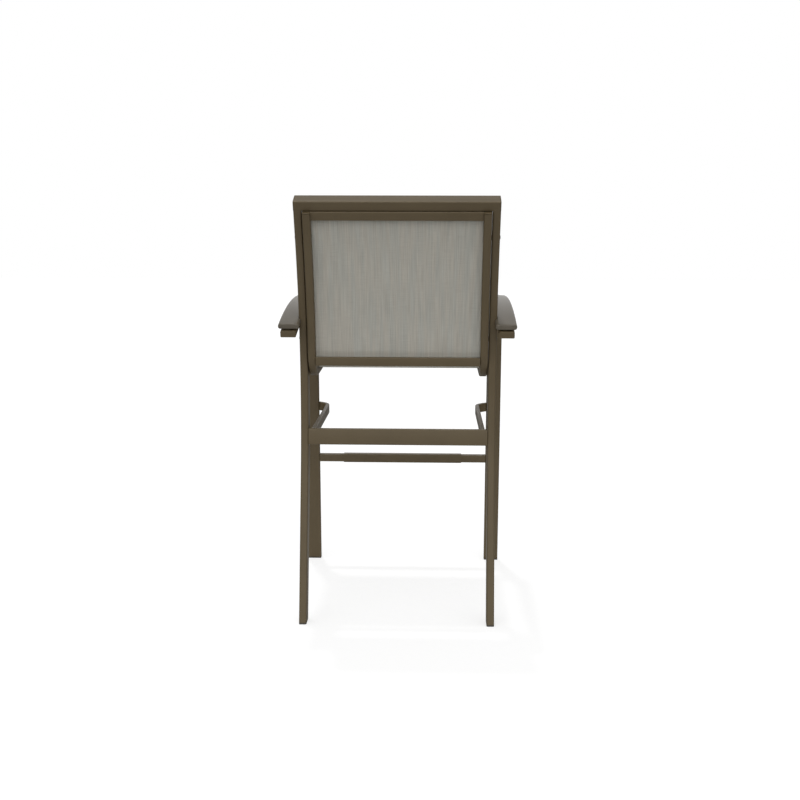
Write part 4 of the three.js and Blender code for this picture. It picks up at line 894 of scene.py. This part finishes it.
def make_arms():
    """Moulded arm: a crowned slab on the arch, its nose rounded in plan and its tail eased."""
    half = ARM_WIDTH / 2
    crown_lines = [(x, (1, 0, 0)) for x in (-0.02, -0.01, 0, 0.01, 0.02)]
    arm = cut_blank("moulded_arm_left", ARM_WIDTH, ARM_THICKNESS, ARM_CORNER, crown_lines, steps=7)
    pick(arm)
    bpy.ops.object.mode_set(mode="EDIT")
    mesh = bmesh.from_edit_mesh(arm.data)
    for vertex in mesh.verts:
        if vertex.co.y > ARM_THICKNESS / 2 - 0.00001:
            vertex.co.y += ARM_CROWN * (1 - (vertex.co.x / half) ** 2)
    bmesh.update_edit_mesh(arm.data)
    bpy.ops.object.mode_set(mode="OBJECT")
    radius = ARM_RADIUS + ARM_THICKNESS / 2
    # distance from the tail, width share, thickness share
    stations = [
        (0, 0.95, 0.8),
        (0.0006, 0.975, 0.9),
        (0.0016, 0.99, 0.96),
        (0.0035, 0.998, 0.99),
        (ARM_TAIL, 1, 1),
    ]
    length = ARM_FRONT - ARM_REAR
    slices = 44
    for i in range(1, slices + 1):
        stations.append((ARM_TAIL + (length - ARM_NOSE - ARM_TAIL) * i / slices, 1, 1))
    # The nose is a full oval in plan, sliced finer towards a tip that stays a little blunt
    fullness, slices, to_the_tip = 2.3, 14, 14.6
    for i in range(1, slices + 1):
        t = sin(pi / 2 * i / to_the_tip)
        width = (1 - t ** fullness) ** (1 / fullness)
        stations.append((length - ARM_NOSE * (1 - t), width, min(1, 0.42 + 0.62 * width ** 0.6)))
    place = arm_place(ARM_REAR, radius)
    set_blank(arm, place, ARM_X)
    pick(arm)
    bpy.ops.object.mode_set(mode="EDIT")
    bpy.ops.mesh.select_all(action="SELECT")

    def squeeze(where, wide, thick):
        centre = (ARM_X, where[0] + REAR, where[1])
        bpy.ops.transform.resize(value=(wide, thick, thick), center_override=centre)

    squeeze(place, stations[0][1], stations[0][2])
    for before, now in zip(stations, stations[1:]):
        turn = arm_turn(ARM_REAR + before[0], ARM_REAR + now[0], radius)
        place = draw_along(arm_place(ARM_REAR + before[0], radius), [("bend", radius, turn, 1)])
        wide, thick = now[1] / before[1], now[2] / before[2]
        if abs(wide - 1) > 0.0001 or abs(thick - 1) > 0.0001:
            squeeze(place, wide, thick)
    bpy.ops.object.mode_set(mode="OBJECT")
    true_up(arm, 60)
    notch = cut_blank("notch_cutter", POST[0] + NOTCH_ROOM, POST[1] + NOTCH_ROOM, TUBE_CORNER)
    foot = ahead_of((0, 0, -LEG_LEAN), POST[1] / 2)
    draw_bar(notch, foot, [
        ("straight", LEG_HEIGHT / cos(LEG_LEAN)),
        ("bend", POST_ARC + POST[1] / 2, LEG_LEAN + BACK_RECLINE, 30),
    ], POST_X)
    true_up(notch)
    pick(arm)
    cutter = arm.modifiers.new("post notch", "BOOLEAN")
    cutter.object = notch
    cutter.operation = "DIFFERENCE"
    cutter.solver = "EXACT"
    bpy.ops.object.modifier_apply(modifier=cutter.name)
    bpy.data.objects.remove(notch)
    true_up(arm, 40)
    finish_piece(arm, arm_polymer, "arm_polymer", "arm_left")
    finish_piece(mirror_of(arm, "moulded_arm_right"), arm_polymer, "arm_polymer", "arm_right")


# Feet and fasteners

def make_feet():
    """Nylon plugs under the legs, their bottom edge eased."""
    feet = {
        "rear": (POST, TUBE_CORNER, POST_X, -POST[1] / cos(LEG_LEAN) / 2, -LEG_LEAN),
        "front": (FRONT_LEG, SQUARE_CORNER, LEG_X, FOOT_Y, FRONT_LEG_LEAN),
    }
    for name, (section, corner, x, y, lean) in feet.items():
        foot = cut_blank(f"{name}_foot_left", section[0], section[1] / cos(lean), corner)
        set_down(foot, at=(x, y + REAR, 0))
        pick(foot)
        bpy.ops.object.mode_set(mode="EDIT")
        bpy.ops.mesh.select_all(action="SELECT")
        rise = GLIDE_HEIGHT - SEAM
        bpy.ops.mesh.extrude_region_move(TRANSFORM_OT_translate={"value": (0, rise * tan(lean), rise)})
        bpy.ops.object.mode_set(mode="OBJECT")
        ease_edges(foot, GLIDE_EDGE, 3)
        true_up(foot)
        finish_piece(foot, glide_nylon, "dark_polymer", f"{name}_glide_left")
        twin = mirror_of(foot, f"{name}_foot_right")
        finish_piece(twin, glide_nylon, "dark_polymer", f"{name}_glide_right")


def turn_bolt(name, shank, head, head_height, length):
    """A button head with a hexagon recess on a plain shank; the head's top is at the origin, facing up."""
    clear_bench()
    seat = (0, 0, -head_height)
    bpy.ops.mesh.primitive_circle_add(vertices=32, radius=head, fill_type="NGON", location=seat)
    bolt = bpy.context.active_object
    bolt.name = bolt.data.name = name
    pick(bolt)
    bpy.ops.object.transform_apply(location=True, rotation=False, scale=False)
    bpy.ops.object.mode_set(mode="EDIT")
    bpy.ops.mesh.select_all(action="SELECT")
    # share of the head's height, share of its width
    rises = [(0.3, 1.0), (0.6, 0.9), (0.83, 0.72), (1.0, 0.5)]
    last_rise, last_width = 0.0, 1.0
    for rise, width in rises:
        step = (rise - last_rise) * head_height
        bpy.ops.mesh.extrude_region_move(TRANSFORM_OT_translate={"value": (0, 0, step)})
        bpy.ops.transform.resize(value=(width / last_width, width / last_width, 1), center_override=(0, 0, 0))
        last_rise, last_width = rise, width
    bpy.ops.object.mode_set(mode="OBJECT")
    true_up(bolt, 50)
    clear_bench()
    # The key stands in the head's top, so the recess is 0.6 of the head deep
    bpy.ops.mesh.primitive_cylinder_add(vertices=6, radius=head * 0.42, depth=head_height * 1.2)
    key = bpy.context.active_object
    pick(bolt)
    recess = bolt.modifiers.new("hexagon recess", "BOOLEAN")
    recess.object = key
    recess.operation = "DIFFERENCE"
    recess.solver = "EXACT"
    bpy.ops.object.modifier_apply(modifier=recess.name)
    bpy.data.objects.remove(key)
    clear_bench()
    reach = length - head_height
    middle = (0, 0, -head_height - reach / 2)
    bpy.ops.mesh.primitive_cylinder_add(vertices=20, radius=shank, depth=reach, location=middle)
    stem = bpy.context.active_object
    bpy.ops.object.transform_apply(location=True, rotation=False, scale=False)
    pick(bolt)
    stem.select_set(True)
    bpy.ops.object.join()
    true_up(bolt, 40)
    return bolt


def make_fasteners():
    """Bolts along X with their heads outside, and bolts and screws that come up from below."""
    # family, the way it runs, radius of the shank and of the head, height of the head
    families = [
        ("rail_bolt", "across", 0.003, 0.006, 0.0018),
        ("support_bolt", "across", 0.003, 0.006, 0.0018),
        ("seat_bolt", "up", 0.003, 0.006, 0.0018),
        ("arm_screw", "up", 0.0021, 0.0042, 0.0024),
    ]
    nodes = sorted(part["node"] for part in frame["record"]["subparts"])
    for family, way, shank, head, head_height in families:
        pattern = None
        for node_name in [name for name in nodes if name.startswith(family)]:
            low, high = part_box(node_name)
            middle = (low + high) / 2
            length = high.x - low.x if way == "across" else high.z - low.z
            if pattern is None:
                pattern = turn_bolt(f"{family}_pattern", shank, head, head_height, length)
            bolt = copy_of(pattern, node_name.replace(family, f"{family}_turned"))
            if way == "across":
                side = 1 if middle.x > 0 else -1
                set_down(bolt, [(0, side * pi / 2, 0)], (high.x if side > 0 else low.x, middle.y, middle.z))
            else:
                lean = 0.0
                if family == "arm_screw":
                    lean = -asin((ARM_CENTRE[0] - (middle.y - REAR)) / SUPPORT_RADIUS)
                head_y, head_z = middle.y + length / 2 * sin(lean), middle.z - length / 2 * cos(lean)
                set_down(bolt, [(pi + lean, 0, 0)], (middle.x, head_y, head_z))
            finish_piece(bolt, bolt_black, "hardware", node_name)
        bpy.data.objects.remove(pattern)


# Floor, lamps and camera

LENS = 49.45                   # millimetres, on a sensor 36 wide
VIEW = (radians(181.65), radians(9.07))
ROLL = radians(0.13)
CAMERA_AT = (-0.0979, 3.0685, 1.1587)
FLOOR_SHADE = 0.4              # how much the chair's shadow shows
FLOOR_GLOW = 0.7               # brings the lit floor up to white for the camera
PAPER_NEAR = (0.6, 0.7)        # distance from the chair, and how much light the floor throws back there
PAPER_FAR = (2.4, 0.3)


def make_stage():
    """A white floor that keeps the chair's shadow, and a white room lit from behind the chair."""
    bpy.ops.mesh.primitive_plane_add(size=40, location=(0, 0, -0.0005))
    floor = bpy.context.active_object
    floor.name = "floor"
    material, tree, surface = new_finish("pale floor")
    tree.nodes.remove(surface)
    out = tree.nodes["Material Output"]
    lit = node(tree, "ShaderNodeBsdfDiffuse")
    lit.inputs["Color"].default_value = (FLOOR_SHADE, FLOOR_SHADE, FLOOR_SHADE, 1)
    glow = node(tree, "ShaderNodeEmission")
    glow.inputs["Color"].default_value = (1, 1, 1, 1)
    glow.inputs["Strength"].default_value = FLOOR_GLOW
    seen = node(tree, "ShaderNodeAddShader")
    tree.links.new(lit.outputs[0], seen.inputs[0])
    tree.links.new(glow.outputs[0], seen.inputs[1])
    plain = node(tree, "ShaderNodeBsdfDiffuse")
    reach = node(tree, "ShaderNodeVectorMath", operation="LENGTH")
    tree.links.new(object_place(tree), reach.inputs[0])
    paper = node(tree, "ShaderNodeMapRange")
    paper.inputs["From Min"].default_value = PAPER_NEAR[0]
    paper.inputs["From Max"].default_value = PAPER_FAR[0]
    paper.inputs["To Min"].default_value = PAPER_NEAR[1]
    paper.inputs["To Max"].default_value = PAPER_FAR[1]
    tree.links.new(reach.outputs["Value"], paper.inputs["Value"])
    tree.links.new(paper.outputs["Result"], plain.inputs["Color"])
    path = node(tree, "ShaderNodeLightPath")
    mix = node(tree, "ShaderNodeMixShader")
    tree.links.new(path.outputs["Is Camera Ray"], mix.inputs[0])
    tree.links.new(plain.outputs[0], mix.inputs[1])
    tree.links.new(seen.outputs[0], mix.inputs[2])
    tree.links.new(mix.outputs[0], out.inputs["Surface"])
    floor.data.materials.append(material)

    world = bpy.data.worlds.new("white room")
    bpy.context.scene.world = world
    world.use_nodes = True
    tree = world.node_tree
    back = tree.nodes["Background"]
    back.inputs["Color"].default_value = (1, 1, 1, 1)
    path = node(tree, "ShaderNodeLightPath")
    soft = add_softbox(tree, towards=(0, 0.86, 0.5), narrowness=2.5, level=1.08, rest=0.48)
    reflected = add_softbox(tree, towards=(0, 0.77, 0.64), narrowness=8.0, level=3.0, rest=0.25)
    reflected = add_softbox(tree, towards=(0, -1, 0.12), narrowness=10.0, level=1.4, rest=reflected)
    lit = choose_level(tree, path.outputs["Is Glossy Ray"], soft, reflected)
    shown = choose_level(tree, path.outputs["Is Camera Ray"], lit, 1.0)
    tree.links.new(shown, back.inputs["Strength"])


def add_softbox(tree, towards, narrowness, level, rest):
    """Light from one side of the room that fades away from its middle, over the level of the rest."""
    ways = node(tree, "ShaderNodeTexCoord")
    facing = node(tree, "ShaderNodeVectorMath", operation="DOT_PRODUCT")
    facing.inputs[1].default_value = Vector(towards).normalized()
    tree.links.new(ways.outputs["Generated"], facing.inputs[0])
    ahead = node(tree, "ShaderNodeMath", operation="MAXIMUM")
    tree.links.new(facing.outputs["Value"], ahead.inputs[0])
    ahead.inputs[1].default_value = 0.0
    fade = node(tree, "ShaderNodeMath", operation="POWER")
    tree.links.new(ahead.outputs[0], fade.inputs[0])
    fade.inputs[1].default_value = narrowness
    box = node(tree, "ShaderNodeMath", operation="MULTIPLY_ADD")
    tree.links.new(fade.outputs[0], box.inputs[0])
    box.inputs[1].default_value = level
    feed(tree, rest, box.inputs[2])
    return box.outputs[0]


def feed(tree, value, socket):
    """Links an output to a socket, or sets the socket to a number."""
    if isinstance(value, float):
        socket.default_value = value
    else:
        tree.links.new(value, socket)


def choose_level(tree, kind, otherwise, level):
    """The room's level: one for rays of a kind, another for all other rays."""
    choice = node(tree, "ShaderNodeMix", data_type="FLOAT")
    tree.links.new(kind, choice.inputs[0])
    feed(tree, otherwise, choice.inputs[2])
    feed(tree, level, choice.inputs[3])
    return choice.outputs[0]


def hang_lamp(name, travel, spread, level):
    """A far lamp whose light travels one way, spread in degrees; a surface square to it gets this level."""
    lamp = bpy.data.lights.new(name, "SUN")
    lamp.energy = level * pi
    lamp.angle = radians(spread)
    hung = bpy.data.objects.new(name, lamp)
    bpy.context.collection.objects.link(hung)
    hung.rotation_euler = Vector(travel).to_track_quat("-Z", "Y").to_euler()


def set_camera():
    """Behind the chair and a little above its middle, as in the photo."""
    lens = bpy.data.cameras.new("camera")
    lens.sensor_width = 36
    lens.lens = LENS
    camera = bpy.data.objects.new("camera", lens)
    bpy.context.collection.objects.link(camera)
    azimuth, elevation = VIEW
    back = Vector((sin(azimuth) * cos(elevation), -cos(azimuth) * cos(elevation), sin(elevation)))
    camera.location = (CAMERA_AT[0], CAMERA_AT[1] + REAR, CAMERA_AT[2])
    level = (-back).to_track_quat("-Z", "Y")
    camera.rotation_euler = (level @ Quaternion((0, 0, 1), ROLL)).to_euler()
    bpy.context.scene.camera = camera


set_camera()
make_stage()
hang_lamp("front lamp", travel=(-0.10, 0.276, -1), spread=3.4, level=0.2)

make_posts()
make_top_rail()
make_stretcher()
make_side_bars()
make_front_legs()
make_supports()
make_footrest()
make_sling_rails()
make_rail_caps()
make_spreaders()
make_cloth("back", 200)
make_cloth("seat", 110)
make_crossbar()
make_arms()
make_feet()
make_fasteners()

CAD_FINISHES = {
    "frame": bronze,
    "arm_polymer": arm_polymer,
    "cloth": sling_weave,
    "rubber": black_rubber,
    "dark_polymer": glide_nylon,
    "hardware": bolt_black,
}
# Pads, spacers, saddles and splines show as their solids
for part in frame["record"]["subparts"]:
    solid = bpy.data.objects.get(part["node"])
    if solid and not solid.hide_render:
        solid.data.materials.clear()
        solid.data.materials.append(CAD_FINISHES[part["material_slot"]])

bpy.context.scene.view_settings.view_transform = "Standard"
